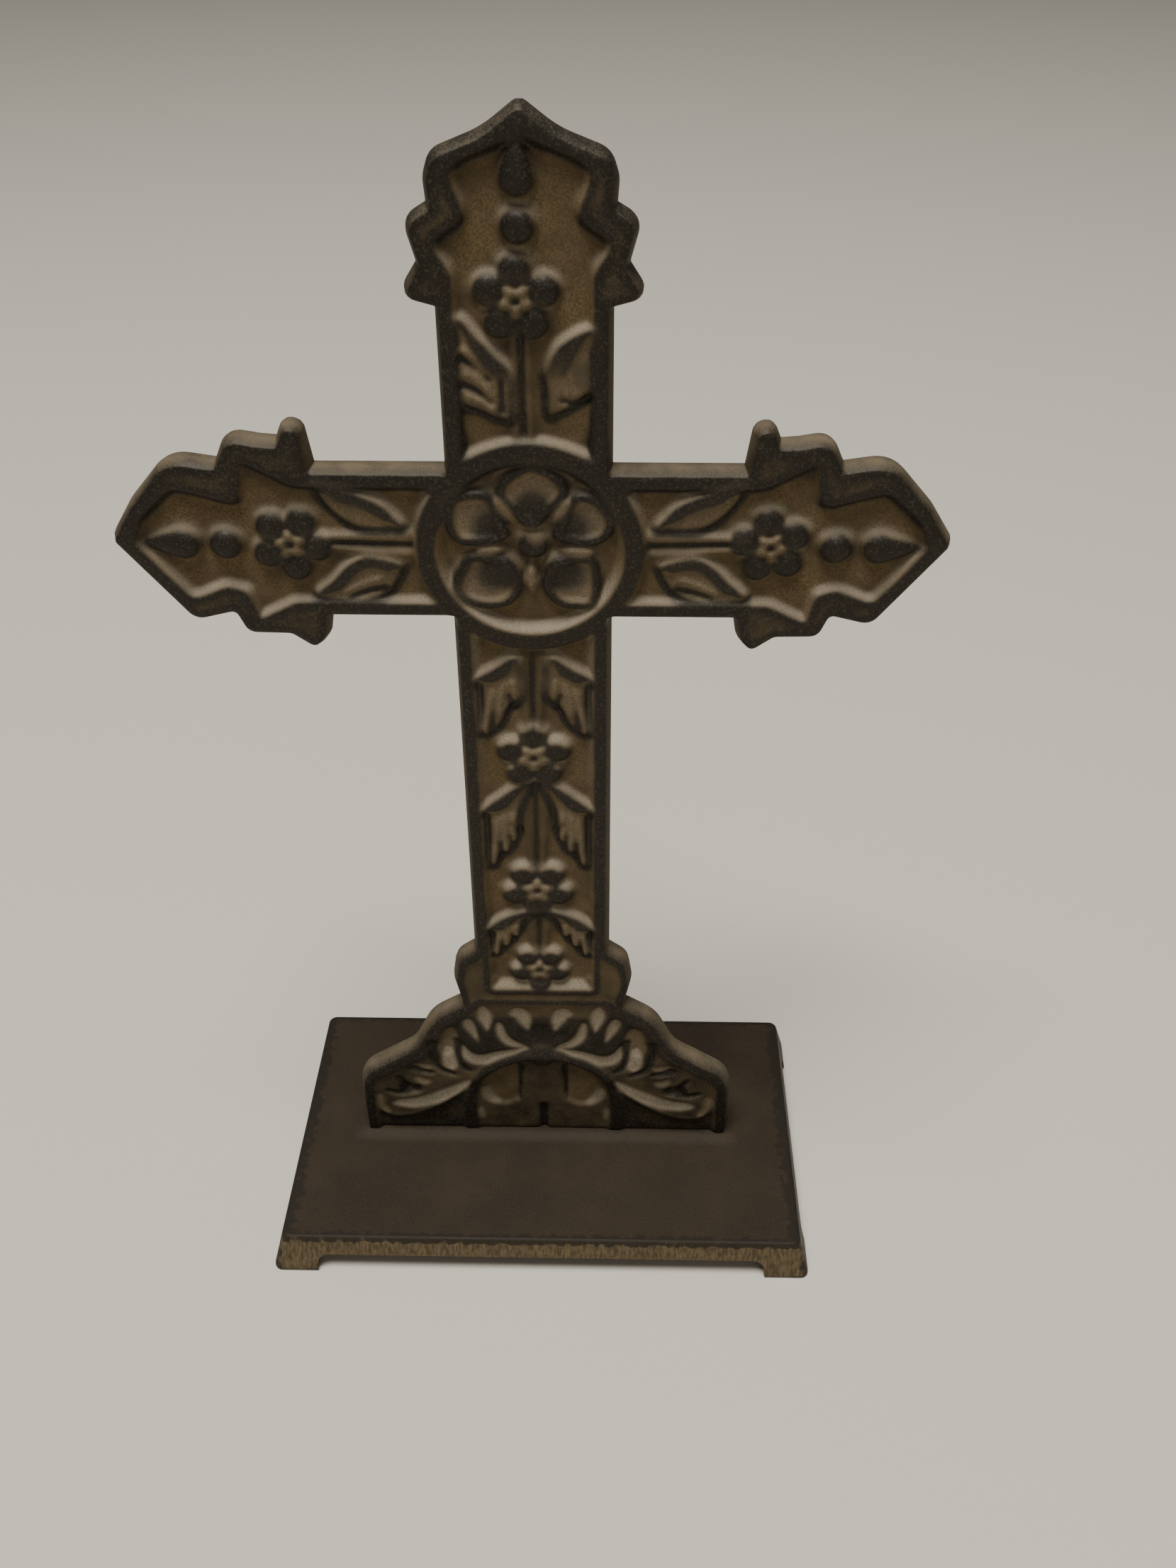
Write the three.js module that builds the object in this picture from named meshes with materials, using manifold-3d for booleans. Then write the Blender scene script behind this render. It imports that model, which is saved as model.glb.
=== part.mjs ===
// Cast-iron table cross with relief ornament, standing on a low footed base plate.
// Millimetres, +Z up, relief side towards -Y, origin under the middle of the base.
import * as THREE from 'three';
import { mergeVertices } from 'three/addons/utils/BufferGeometryUtils.js';
import Module from 'manifold-3d';

const wasm = await Module();
wasm.setup();

// Driving dimensions of the cross's front face
const APEX = 287.6;
const ARM_AXIS = 199.2;
const ARM_TIP = 90.3;
const SHAFT_HALF = 16.5;
const FOOT_HALF = 51.3;

// Section of the casting, as depths behind the front face
const THICKNESS = 6;
const DRAFT_DEPTH = 3;
const DRAFT = 1.2;
const PARTING_DEPTH = 4.6;
const PARTING_FLARE = 1.35;
const FRONT_Y = -4;

// Sunk panel and ring
const PANEL_HALF = 14.1;
const PANEL_DEPTH = 2.1;
const PANEL_SLOPE = 1.1;
const RING_CENTRE = ARM_AXIS - 0.6;
const RING_INNER = 20.8;
const RING_OUTER = 24.5;
const RING_PROUD = 0.25;

// Base plate
const BASE_HEIGHT = 11.4;
const BASE_TOP_HALF = [70.4, 41.9];
const BASE_FLARE = 3;
const BASE_EDGE = 0.6;
const BASE_CORNER = 2;
const FOOT_HEIGHT = 5.7;
const FOOT_WIDTH = 12.5;
const FOOT_ARCH = 3;

const SEAT_GAP = 0.3;
const FOOT_BOTTOM = BASE_HEIGHT + SEAT_GAP;
const ARC_STEP = THREE.MathUtils.degToRad(30);
const GROUND = -PANEL_DEPTH;

// Polygon points from corners [x, y, radius], each corner rounded by a curve
function roundCorners(corners) {
  return corners.flatMap(([x, y, radius], i) => {
    const corner = new THREE.Vector2(x, y);
    if (!radius) return [corner];
    const back = new THREE.Vector2(...corners.at(i - 1)).sub(corner).normalize();
    const ahead = new THREE.Vector2(...corners[(i + 1) % corners.length]).sub(corner).normalize();
    const turn = Math.PI - back.angleTo(ahead);
    const reach = radius * Math.tan(turn / 2);
    const start = corner.clone().addScaledVector(back, reach);
    const end = corner.clone().addScaledVector(ahead, reach);
    const steps = Math.max(1, Math.round(turn / ARC_STEP));
    return new THREE.QuadraticBezierCurve(start, corner, end).getPoints(steps);
  });
}

// Whole outline from the corners of its right half, listed from top to bottom
function mirrored(rightHalf) {
  const leftHalf = rightHalf.filter(([x]) => x > 0).map(([x, y, radius]) => [-x, y, radius]);
  return roundCorners([...leftHalf, ...rightHalf.toReversed()]);
}

// Outline moved outwards, or inwards where the distance is negative
function grow(points, distance) {
  return points.map((point, i) => {
    const arriving = point.clone().sub(points.at(i - 1)).normalize();
    const leaving = points[(i + 1) % points.length].clone().sub(point).normalize();
    const normal = new THREE.Vector2(arriving.y + leaving.y, -arriving.x - leaving.x).normalize();
    const miter = normal.x * arriving.y - normal.y * arriving.x;
    return point.clone().addScaledVector(normal, distance / Math.max(miter, 0.5));
  });
}

// Closed body through outlines of one point count, as [points, height] from lowest to highest
function loft(levels) {
  const count = levels[0][0].length;
  const positions = levels.flatMap(([points, z]) => points.flatMap((point) => [point.x, point.y, z]));
  const index = [];
  for (let level = 0; level + 1 < levels.length; level++) {
    for (let i = 0; i < count; i++) {
      const a = level * count + i;
      const b = level * count + ((i + 1) % count);
      index.push(a, b, b + count, a, b + count, a + count);
    }
  }
  const top = (levels.length - 1) * count;
  const bottomFaces = THREE.ShapeUtils.triangulateShape(levels[0][0], []);
  const topFaces = THREE.ShapeUtils.triangulateShape(levels.at(-1)[0], []);
  bottomFaces.forEach(([a, b, c]) => index.push(a, c, b));
  topFaces.forEach(([a, b, c]) => index.push(top + a, top + b, top + c));
  const geometry = new THREE.BufferGeometry();
  geometry.setAttribute('position', new THREE.Float32BufferAttribute(positions, 3));
  return geometry.setIndex(index);
}

// Solid for joining and cutting, with shared corners merged and empty triangles dropped
function solid(geometry) {
  geometry.deleteAttribute('normal');
  geometry.deleteAttribute('uv');
  const merged = mergeVertices(geometry, 1e-4);
  const corners = merged.index.array;
  const triangles = [];
  for (let i = 0; i < corners.length; i += 3) {
    const [a, b, c] = corners.slice(i, i + 3);
    if (a !== b && b !== c && c !== a) triangles.push(a, b, c);
  }
  const vertProperties = new Float32Array(merged.getAttribute('position').array);
  const triVerts = new Uint32Array(triangles);
  return new wasm.Manifold(new wasm.Mesh({ numProp: 3, vertProperties, triVerts }));
}

function toGeometry(manifold) {
  const { vertProperties, triVerts } = manifold.getMesh();
  const geometry = new THREE.BufferGeometry();
  geometry.setAttribute('position', new THREE.Float32BufferAttribute(vertProperties, 3));
  return geometry.setIndex(Array.from(triVerts));
}

// Half-buried bead
function bead(x, y, radius, height, ground = GROUND) {
  const ball = new THREE.SphereGeometry(1, 8, 4);
  return ball.rotateX(Math.PI / 2).scale(radius, radius, height).translate(x, y, ground);
}

// Drop with its round end at (x, y) and its tail running out along the angle
function teardrop(x, y, angle, radius, tail, height) {
  const profile = [[-1, 0], [-0.7, 0.7], [0, 1], [0.7, 0.78], [tail / radius, 0]];
  const points = profile.map(([along, across]) => new THREE.Vector2(across, along));
  const drop = new THREE.LatheGeometry(points, 8);
  drop.scale(radius, radius, height);
  return drop.rotateZ(angle - Math.PI / 2).translate(x, y, GROUND);
}

// Oval cup with a raised lip around a hollow: petals, lobes and flower eyes
function cup(x, y, angle, length, width, height, ground = GROUND, sides = 12) {
  const profile = [[0, -0.5], [1, -0.5], [0.94, 0.85], [0.8, 1], [0.56, 0.3], [0, 0.1]];
  const points = profile.map(([radius, level]) => new THREE.Vector2(radius, level));
  const dish = new THREE.LatheGeometry(points, sides).rotateX(Math.PI / 2);
  dish.scale(length / 2, width / 2, height);
  return dish.rotateZ(angle).translate(x, y, ground);
}

// Half-round bar between two points of the face
function bar(from, to, radius, height, ground = GROUND) {
  const along = new THREE.Vector2(...to).sub(new THREE.Vector2(...from));
  const rod = new THREE.CylinderGeometry(radius, radius, along.length(), 6).scale(1, 1, height / radius);
  rod.rotateZ(along.angle() - Math.PI / 2);
  return rod.translate((from[0] + to[0]) / 2, (from[1] + to[1]) / 2, ground);
}

// Serrated leaf outline along its midrib, between two fractions of the midrib's length
const LEAF_TEETH = 6;
function leafOutline(midrib, width, from, to) {
  const side = (sign) => Array.from({ length: LEAF_TEETH - 1 }, (_, i) => {
    const share = (i + 1) / LEAF_TEETH;
    const along = from + (to - from) * share;
    const tangent = midrib.getTangent(along);
    const tooth = i % 2 ? 0.78 : 1;
    const reach = sign * width * tooth * Math.sin(Math.PI * share ** 0.8);
    return midrib.getPoint(along).add(new THREE.Vector2(tangent.y, -tangent.x).multiplyScalar(reach));
  });
  return [midrib.getPoint(from), ...side(1), midrib.getPoint(to), ...side(-1).reverse()];
}

// Leaf with a raised toothed edge, a hollow blade and a midrib
function leaf(root, bend, tip, width) {
  const EDGE_HEIGHT = 1.5;
  const HOLLOW_HEIGHT = 0.5;
  const midrib = new THREE.QuadraticBezierCurve(
    new THREE.Vector2(...root), new THREE.Vector2(...bend), new THREE.Vector2(...tip));
  const blade = solid(loft([
    [leafOutline(midrib, width, 0, 1), GROUND - 0.5],
    [leafOutline(midrib, width - 0.6, 0.03, 0.97), GROUND + EDGE_HEIGHT],
  ]));
  const hollow = solid(loft([
    [leafOutline(midrib, width * 0.5, 0.16, 0.84), GROUND + HOLLOW_HEIGHT],
    [leafOutline(midrib, width * 0.66, 0.1, 0.9), GROUND + EDGE_HEIGHT + 0.1],
  ]));
  const rib = solid(bar(midrib.getPoint(0.05).toArray(), midrib.getPoint(0.86).toArray(), 0.9, 1.3));
  return blade.subtract(hollow).add(rib);
}

// Flower of five beads around a small ringed eye, its first bead at the given angle
function flower(x, y, firstAngle, size = 1) {
  const PETALS = 5;
  const petals = Array.from({ length: PETALS }, (_, i) => {
    const angle = firstAngle + (i * 2 * Math.PI) / PETALS;
    return bead(x + 6 * size * Math.cos(angle), y + 6 * size * Math.sin(angle), 3.4 * size, 2.6);
  });
  return [...petals, cup(x, y, 0, 4.6, 4.6, 1.2, GROUND, 6)];
}

// Two-ribbed stem between two points
function stem(from, to) {
  const across = new THREE.Vector2(to[1] - from[1], from[0] - to[0]).setLength(1.25);
  return [1, -1].map((sign) => bar(
    [from[0] + sign * across.x, from[1] + sign * across.y],
    [to[0] + sign * across.x, to[1] + sign * across.y], 1.1, 1.4));
}

const radians = THREE.MathUtils.degToRad;
const joined = (solids) => solids.reduce((sum, next) => sum.add(next));
const joinedShapes = (shapes) => joined(shapes.map(solid));

// Front outline of the cross, right half from the apex to the foot
const overCorners = [
  [47, SHAFT_HALF, 1.5], [48.4, 25.8, 1], [50.4, 26.6, 1.2], [52.2, 22.3, 1.8], [57, 22.7, 5],
  [62.8, 23.7, 3.2], [65.8, 17.2, 2], [76.2, 18.8, 7], [85.2, 8.8, 12], [ARM_TIP, 1, 0.8],
];
const underCorners = [
  [46.4, SHAFT_HALF, 1.5], [47.4, 22.4, 2], [49.4, 25, 1.4], [54.4, 21.4, 3], [64, 21.2, 2.6],
  [66.3, 15.7, 2], [75.6, 18, 3.4],
];
const underArm = ([x, offset, radius]) => [x, ARM_AXIS - offset, radius];
const overArm = ([x, offset, radius]) => [x, ARM_AXIS + offset, radius];
const outline = mirrored([
  [0, APEX, 0.8],
  [6.5, APEX - 4.9, 24],
  [SHAFT_HALF - 0.4, APEX - 8.6, 3.5],
  [SHAFT_HALF + 0.9, APEX - 12.6, 5],
  [SHAFT_HALF + 0.5, APEX - 17.8, 1.8],
  [SHAFT_HALF + 5.2, APEX - 20.6, 2.8],
  [SHAFT_HALF + 3, APEX - 28.4, 2.5],
  [SHAFT_HALF + 6.7, APEX - 34, 1.6],
  [SHAFT_HALF, APEX - 35.8, 1.6],
  [SHAFT_HALF, ARM_AXIS + SHAFT_HALF, 1.8],
  ...overCorners.map(overArm),
  ...underCorners.toReversed().map(underArm),
  [SHAFT_HALF, ARM_AXIS - SHAFT_HALF, 1.8],
  [SHAFT_HALF, 80.8, 2.5],
  [21.6, 77, 4.5],
  [22.7, 70, 6],
  [20.8, 60.8, 1.6],
  [29.8, 55.1, 12],
  [35.2, 43.9, 10],
  [FOOT_HALF, 33.2, 8.5],
  [FOOT_HALF, FOOT_BOTTOM - 3, 0],
]);

// Blank casting: drafted sides behind the front face, a parting line, then a straight back part
const blank = solid(loft([
  [grow(outline, PARTING_FLARE), -THICKNESS],
  [grow(outline, PARTING_FLARE), -PARTING_DEPTH],
  [grow(outline, DRAFT), -DRAFT_DEPTH],
  [outline, 0],
]));

// Sunk panel that follows the outline inside a raised rim, cusped in the three terminals
const armPanelCorners = [
  [48, PANEL_HALF - 0.3, 5], [61.4, 17.6, 1.5], [64.2, 9.8, 2], [78.2, 12.2, 3], [86.2, 0, 1],
];
const panel = mirrored([
  [0, APEX - 3.9, 1],
  [14.3, APEX - 9.6, 1.6],
  [11.4, APEX - 19, 1.5],
  [17.4, APEX - 23.4, 1.4],
  [PANEL_HALF, APEX - 29, 3],
  [PANEL_HALF, ARM_AXIS + PANEL_HALF, 0],
  ...armPanelCorners.map(overArm),
  ...armPanelCorners.slice(0, -1).reverse().map(underArm),
  [PANEL_HALF, ARM_AXIS - PANEL_HALF, 0],
  [PANEL_HALF, 67.6, 1.5],
]);

// Sunk panel of the bell foot, open along its lower edge
const FOOT_GROUND = -1.9;
const footPanel = mirrored([
  [17.6, 62.4, 1.5],
  [19.6, 58, 2],
  [27.4, 53.4, 9],
  [33, 41.6, 9],
  [FOOT_HALF - 2.6, 31.4, 7],
  [FOOT_HALF - 2.6, FOOT_BOTTOM - 2, 0],
]);
const sunk = (points, depth) => solid(loft([
  [grow(points, -PANEL_SLOPE), -depth],
  [points, 0],
  [points, 1],
]));

// Central ring, a turned band with sloping flanks
const ringProfile = [
  [RING_INNER - 2.2, GROUND - 0.5], [RING_OUTER + 1.4, GROUND - 0.5], [RING_OUTER + 1.4, GROUND],
  [RING_OUTER, RING_PROUD], [RING_INNER, RING_PROUD], [RING_INNER - 2.2, GROUND],
  [RING_INNER - 2.2, GROUND - 0.5],
];
const ring = new THREE.LatheGeometry(ringProfile.map(([r, z]) => new THREE.Vector2(r, z)), 40)
  .rotateX(Math.PI / 2).translate(0, RING_CENTRE, 0);

// Dog rose inside the ring: a heart, five cupped petals as [x, y, degrees, length, width] from the ring's
// centre, and a sepal between each two
const petals = [
  [11.4, 6.9, 27, 11.8, 12], [0.6, 13, 90, 12.6, 13.4], [-11.2, 7.2, 154, 12.4, 12.2],
  [-9.7, -7.6, 220, 13.2, 12.8], [8.5, -7.4, 312, 12.6, 12.4],
];
const rose = [bead(0.7, RING_CENTRE + 1.4, 3.3, 2.6)];
petals.forEach(([x, y, degrees, length, width], i) => {
  const between = radians((degrees + (petals[i + 1]?.[2] ?? petals[0][2] + 360)) / 2);
  rose.push(cup(x, RING_CENTRE + y, radians(degrees), length, width, 1.9));
  rose.push(teardrop(9.8 * Math.cos(between), RING_CENTRE + 9.8 * Math.sin(between),
    between + Math.PI, 1.6, 5.6, 1.4));
});

// Upper arm: teardrop, bead, flower, stem and two rising leaves
const upperFlower = ARM_AXIS + 53.6;
const upper = [
  teardrop(-0.7, APEX - 11.6, Math.PI / 2, 3.3, 9.5, 2.6),
  bead(-0.7, APEX - 20.8, 3.4, 2.7),
  ...flower(-1.4, upperFlower, Math.PI / 2),
  ...stem([-0.8, RING_CENTRE + RING_OUTER], [-0.8, upperFlower - 5]),
];
const upperLeaves = [1, -1].map((side) => leaf(
  [side * 2, ARM_AXIS + 28], [side * 5, ARM_AXIS + 39], [side * 13.6, ARM_AXIS + 46.5], 6.2));

// Side arms: teardrop, bead, flower, stem and two leaves spreading from the ring
const sideFlower = 51.6;
const sideArm = (side) => [
  teardrop(side * 75.8, ARM_AXIS, side > 0 ? 0 : Math.PI, 3.8, 10, 2.6),
  bead(side * 66.4, ARM_AXIS, 3.5, 2.7),
  ...flower(side * sideFlower, ARM_AXIS, side > 0 ? Math.PI : 0),
  ...stem([side * RING_OUTER, ARM_AXIS], [side * (sideFlower - 6), ARM_AXIS]),
];
const sideLeaves = [[1, 1], [1, -1], [-1, 1], [-1, -1]].map(([side, up]) => leaf(
  [side * 25.5, ARM_AXIS + up * 3.6],
  [side * 32, ARM_AXIS + up * 8.6],
  [side * 47, ARM_AXIS + up * 13], 5.8));

// Shaft: three hanging sprigs, each a stem, two drooping leaves and a flower, as [root, leaf length, flower]
const sprigs = [[172, 23, 143.4], [136.4, 29, 102.3], [95, 17.5, 75]];
const shaft = sprigs.flatMap(([root, , heart], i) => [
  ...stem([0, root], [0, heart + 6]),
  ...flower(0, heart, i === 0 ? Math.PI / 2 : -Math.PI / 2, i === sprigs.length - 1 ? 0.86 : 1),
]);
const shaftLeaves = sprigs.flatMap(([root, length]) => [1, -1].map((side) => leaf(
  [side * 2.4, root], [side * 9.6, root - length * 0.3], [side * 12.4, root - length], 5.4)));

// Bell foot: two scrolls from a boss, a fan of acanthus lobes above and three hanging tongues below
const scrollPoints = [
  [3, 41.6], [11, 38.6], [18.5, 31.8], [27, 23.4], [36, 18.6], [44.4, 20.2], [47.6, 26.6],
  [44.6, 32.4], [38.8, 31.6], [38.4, 27.6],
];
const scrollSection = new THREE.Shape(
  [[-1.5, -1.3], [0, -2.3], [1.5, -1.3], [1.5, 1.3], [0, 2.3], [-1.5, 1.3]].map(
    ([level, across]) => new THREE.Vector2(level, across)));
const scroll = (side) => new THREE.ExtrudeGeometry(scrollSection, {
  steps: 26,
  bevelEnabled: false,
  extrudePath: new THREE.CatmullRomCurve3(
    scrollPoints.map(([x, y]) => new THREE.Vector3(side * x, y, FOOT_GROUND))),
});
const FAN_CENTRE = 44;
const footRelief = [
  bead(0, 41.6, 4.2, 2, FOOT_GROUND),
  cup(0, 51, 0, 19, 12, 1.6, FOOT_GROUND),
  cup(0, 27, Math.PI / 2, 20, 11, 1.4, FOOT_GROUND),
];
[1, -1].forEach((side) => {
  footRelief.push(cup(side * 12.3, 28, Math.PI / 2, 15.5, 10.5, 1.4, FOOT_GROUND));
  footRelief.push(bar([side * 21, FOOT_BOTTOM - 2], [side * 21, 24], 2.2, 1.4, FOOT_GROUND));
  for (let lobe = 0; lobe < 4; lobe++) {
    const angle = radians(69 - 24.4 * lobe);
    const reach = 14 + 4 * lobe;
    footRelief.push(cup(side * reach * Math.cos(angle), FAN_CENTRE + reach * Math.sin(angle),
      side > 0 ? angle : Math.PI - angle, 12, 7.6, 1.5, FOOT_GROUND, 8));
  }
});

const ornament = joinedShapes([
  ring, ...rose, ...upper, ...sideArm(1), ...sideArm(-1), ...shaft, ...footRelief, scroll(1), scroll(-1),
]).add(joined([...upperLeaves, ...sideLeaves, ...shaftLeaves]));

// Everything stays inside the front outline and above the foot's seat on the base
const limit = solid(loft([[outline, -THICKNESS + 1], [outline, THICKNESS]]));
const belowSeat = solid(new THREE.BoxGeometry(400, 40, 40).translate(0, FOOT_BOTTOM - 20, 0));
const crossSolid = blank
  .subtract(sunk(panel, PANEL_DEPTH))
  .subtract(sunk(footPanel, -FOOT_GROUND))
  .add(ornament.intersect(limit))
  .subtract(belowSeat);

// Base plate: flared block with a softened top edge, arched out between its four corner feet
const basePlan = (extra) => {
  const [x, y] = BASE_TOP_HALF.map((half) => half + extra);
  return roundCorners([[-x, -y], [x, -y], [x, y], [-x, y]].map((corner) => [...corner, BASE_CORNER]));
};
const archTunnel = (half, length, turn) => {
  const arch = roundCorners([
    [-half, -FOOT_HEIGHT, 0], [half, -FOOT_HEIGHT, 0],
    [half, FOOT_HEIGHT, FOOT_ARCH], [-half, FOOT_HEIGHT, FOOT_ARCH],
  ]);
  return solid(loft([[arch, -length], [arch, length]]).rotateX(Math.PI / 2).rotateZ(turn));
};
const [halfX, halfY] = BASE_TOP_HALF.map((half) => half + BASE_FLARE);
const baseSolid = solid(loft([
  [basePlan(BASE_FLARE), 0],
  [basePlan(0), BASE_HEIGHT - BASE_EDGE],
  [basePlan(-BASE_EDGE), BASE_HEIGHT],
]))
  .subtract(archTunnel(halfX - FOOT_WIDTH, 2 * halfY, 0))
  .subtract(archTunnel(halfY - FOOT_WIDTH, 2 * halfX, Math.PI / 2));

const cross = new THREE.Mesh(
  toGeometry(crossSolid),
  new THREE.MeshStandardMaterial({ color: '#3a2e22', roughness: 0.7, metalness: 0.5 }));
cross.name = 'cross';
cross.rotation.x = Math.PI / 2;
cross.position.y = FRONT_Y;

const basePlate = new THREE.Mesh(
  toGeometry(baseSolid),
  new THREE.MeshStandardMaterial({ color: '#33291f', roughness: 0.6, metalness: 0.5 }));
basePlate.name = 'base_plate';

const group = new THREE.Group();
group.add(basePlate, cross);
export default group;
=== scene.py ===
import math

import bmesh
import bpy
import numpy as np
from mathutils import Matrix, Vector, noise


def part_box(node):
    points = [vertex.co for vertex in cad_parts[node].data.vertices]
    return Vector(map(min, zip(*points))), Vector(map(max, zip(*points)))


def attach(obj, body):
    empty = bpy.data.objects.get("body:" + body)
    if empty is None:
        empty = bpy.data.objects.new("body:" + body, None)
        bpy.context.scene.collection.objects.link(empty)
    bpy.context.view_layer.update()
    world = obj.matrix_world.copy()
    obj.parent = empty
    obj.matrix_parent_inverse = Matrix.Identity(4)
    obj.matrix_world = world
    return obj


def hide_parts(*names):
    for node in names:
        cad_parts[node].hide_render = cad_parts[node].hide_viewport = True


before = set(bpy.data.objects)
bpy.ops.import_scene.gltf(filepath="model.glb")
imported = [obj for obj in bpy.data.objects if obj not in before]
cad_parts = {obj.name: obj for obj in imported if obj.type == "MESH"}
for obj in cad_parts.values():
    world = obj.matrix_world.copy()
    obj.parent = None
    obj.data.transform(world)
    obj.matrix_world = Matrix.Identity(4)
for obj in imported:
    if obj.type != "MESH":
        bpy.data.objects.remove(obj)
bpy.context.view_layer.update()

# Cross: its outline and the sheet that becomes its face
# One flat iron casting, poured in a two-part sand mould, with the relief on its front.
# The face starts as a fine flat sheet, in millimetres, trimmed to the outline of the cross.
MM = 0.001
APEX = 287.6
ARM_AXIS = 199.2
ARM_TIP = 90.3
SHAFT_HALF = 16.5
FOOT_HALF = 51.3
FRONT_Y = -4.0
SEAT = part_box("cross")[0].z / MM
SHEET_CELL = 0.5
ARC_STEPS = 8
EVENING_ROUNDS = 4


def rounded(corners):
    """Points of a closed outline whose corners, given as (x, z, radius), are rounded by curves."""
    points = []
    for i, (x, z, radius) in enumerate(corners):
        corner = Vector((x, z))
        back = Vector(corners[i - 1][:2]) - corner
        ahead = Vector(corners[(i + 1) % len(corners)][:2]) - corner
        reach = radius * math.tan((math.pi - back.angle(ahead)) / 2)
        start = corner + back.normalized() * reach
        end = corner + ahead.normalized() * reach
        for step in range(ARC_STEPS + 1 if radius else 1):
            t = step / ARC_STEPS
            points.append(start * (1 - t) ** 2 + corner * 2 * t * (1 - t) + end * t ** 2)
    return np.array(points)


def mirrored(right_half):
    """Closed outline from the corners of its right half, listed from top to bottom."""
    left_half = [(-x, z, radius) for x, z, radius in right_half if x > 0]
    return rounded(left_half + right_half[::-1])


def over_arm(corners):
    """Corners above the axis of the arms, each given as (x, height over the axis, radius)."""
    return [(x, ARM_AXIS + offset, radius) for x, offset, radius in corners]


def under_arm(corners):
    """Corners below the axis of the arms, from the tip back to the shaft."""
    return [(x, ARM_AXIS - offset, radius) for x, offset, radius in corners[::-1]]


def nearest_on(outline, px, pz):
    """Distance to a closed outline, the nearest point on it and the outward direction there."""
    after = np.roll(outline, -1, axis=0)
    edge = after - outline
    span = np.maximum(np.hypot(edge[:, 0], edge[:, 1]), 1e-9)
    outward = np.stack([edge[:, 1], -edge[:, 0]], 1) / span[:, None]
    corner_out = outward + np.roll(outward, 1, axis=0)
    corner_out /= np.maximum(np.hypot(corner_out[:, 0], corner_out[:, 1]), 1e-9)[:, None]
    next_out = np.roll(corner_out, -1, axis=0)
    distance = np.full(px.shape, np.inf)
    point = np.zeros((len(px), 2))
    normal = np.zeros((len(px), 2))
    for i in range(len(outline)):
        t = ((px - outline[i, 0]) * edge[i, 0] + (pz - outline[i, 1]) * edge[i, 1]) / span[i] ** 2
        t = np.clip(t, 0, 1)
        foot_x = outline[i, 0] + t * edge[i, 0]
        foot_z = outline[i, 1] + t * edge[i, 1]
        gap = np.hypot(px - foot_x, pz - foot_z)
        closer = gap < distance
        distance[closer] = gap[closer]
        point[closer] = np.stack([foot_x[closer], foot_z[closer]], 1)
        share = t[closer][:, None]
        normal[closer] = corner_out[i] * (1 - share) + next_out[i] * share
    return distance, point, normal


def depth_inside(outline, px, pz):
    """How far each point lies inside a closed outline, negative outside it."""
    distance = nearest_on(outline, px, pz)[0]
    inside = np.zeros(px.shape, bool)
    for (ax, az), (bx, bz) in zip(outline, np.roll(outline, -1, axis=0)):
        if az != bz:
            inside ^= ((az > pz) != (bz > pz)) & (px < ax + (pz - az) * (bx - ax) / (bz - az))
    return np.where(inside, distance, -distance)


OVER_CORNERS = [
    (47, SHAFT_HALF, 1.5), (48.4, 25.8, 1), (50.4, 26.6, 1.2), (52.2, 22.3, 1.8), (57, 22.7, 5),
    (62.8, 23.7, 3.2), (65.8, 17.2, 2), (76.2, 18.8, 7), (85.2, 8.8, 12), (ARM_TIP, 1, 0.8),
]
UNDER_CORNERS = [
    (46.4, SHAFT_HALF, 1.5), (47.4, 22.4, 2), (49.4, 25, 1.4), (54.4, 21.4, 3), (64, 21.2, 2.6),
    (66.3, 15.7, 2), (75.6, 18, 3.4),
]
OUTLINE = mirrored([
    (0, APEX, 0.8),
    (6.5, APEX - 4.9, 24),
    (SHAFT_HALF - 0.4, APEX - 8.6, 3.5),
    (SHAFT_HALF + 0.9, APEX - 12.6, 5),
    (SHAFT_HALF + 0.5, APEX - 17.8, 1.8),
    (SHAFT_HALF + 5.2, APEX - 20.6, 2.8),
    (SHAFT_HALF + 3, APEX - 28.4, 2.5),
    (SHAFT_HALF + 6.7, APEX - 34, 1.6),
    (SHAFT_HALF, APEX - 35.8, 1.6),
    (SHAFT_HALF, ARM_AXIS + SHAFT_HALF, 1.8),
    *over_arm(OVER_CORNERS),
    *under_arm(UNDER_CORNERS),
    (SHAFT_HALF, ARM_AXIS - SHAFT_HALF, 1.8),
    (SHAFT_HALF, 80.8, 2.5),
    (21.6, 77, 4.5),
    (22.7, 70, 6),
    (20.8, 60.8, 1.6),
    (29.8, 55.1, 12),
    (35.2, 43.9, 10),
    (FOOT_HALF, 33.2, 8.5),
    (FOOT_HALF, SEAT, 0),
])

sheet = bmesh.new()
base_layer = sheet.verts.layers.float_vector.new("edge_base")
outward_layer = sheet.verts.layers.float_vector.new("edge_outward")
# Darkness of each point: dark paint, with painted shade where shade falls.
dark_and_shade_layer = sheet.verts.layers.float.new("dark_paint_and_shade")
# Paleness of each point: dust and light tan, with painted highlight on slopes that face up.
dust_and_highlight_layer = sheet.verts.layers.float.new("pale_dust_and_highlight")
low = OUTLINE.min(0) - SHEET_CELL
span = OUTLINE.max(0) + SHEET_CELL - low
cells = np.ceil(span / SHEET_CELL).astype(int)
bmesh.ops.create_grid(
    sheet, x_segments=int(cells[0]), y_segments=int(cells[1]), size=0.5,
    matrix=Matrix.Translation((*(low + span / 2), 0)) @ Matrix.Diagonal((*span, 1, 1)))
sheet.verts.index_update()
grid = np.array([vert.co.xy for vert in sheet.verts])
inside = depth_inside(OUTLINE, grid[:, 0], grid[:, 1])
outside_faces = [
    face for face in sheet.faces if sum(inside[vert.index] for vert in face.verts) <= 0]
bmesh.ops.delete(sheet, geom=outside_faces, context="FACES")

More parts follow.
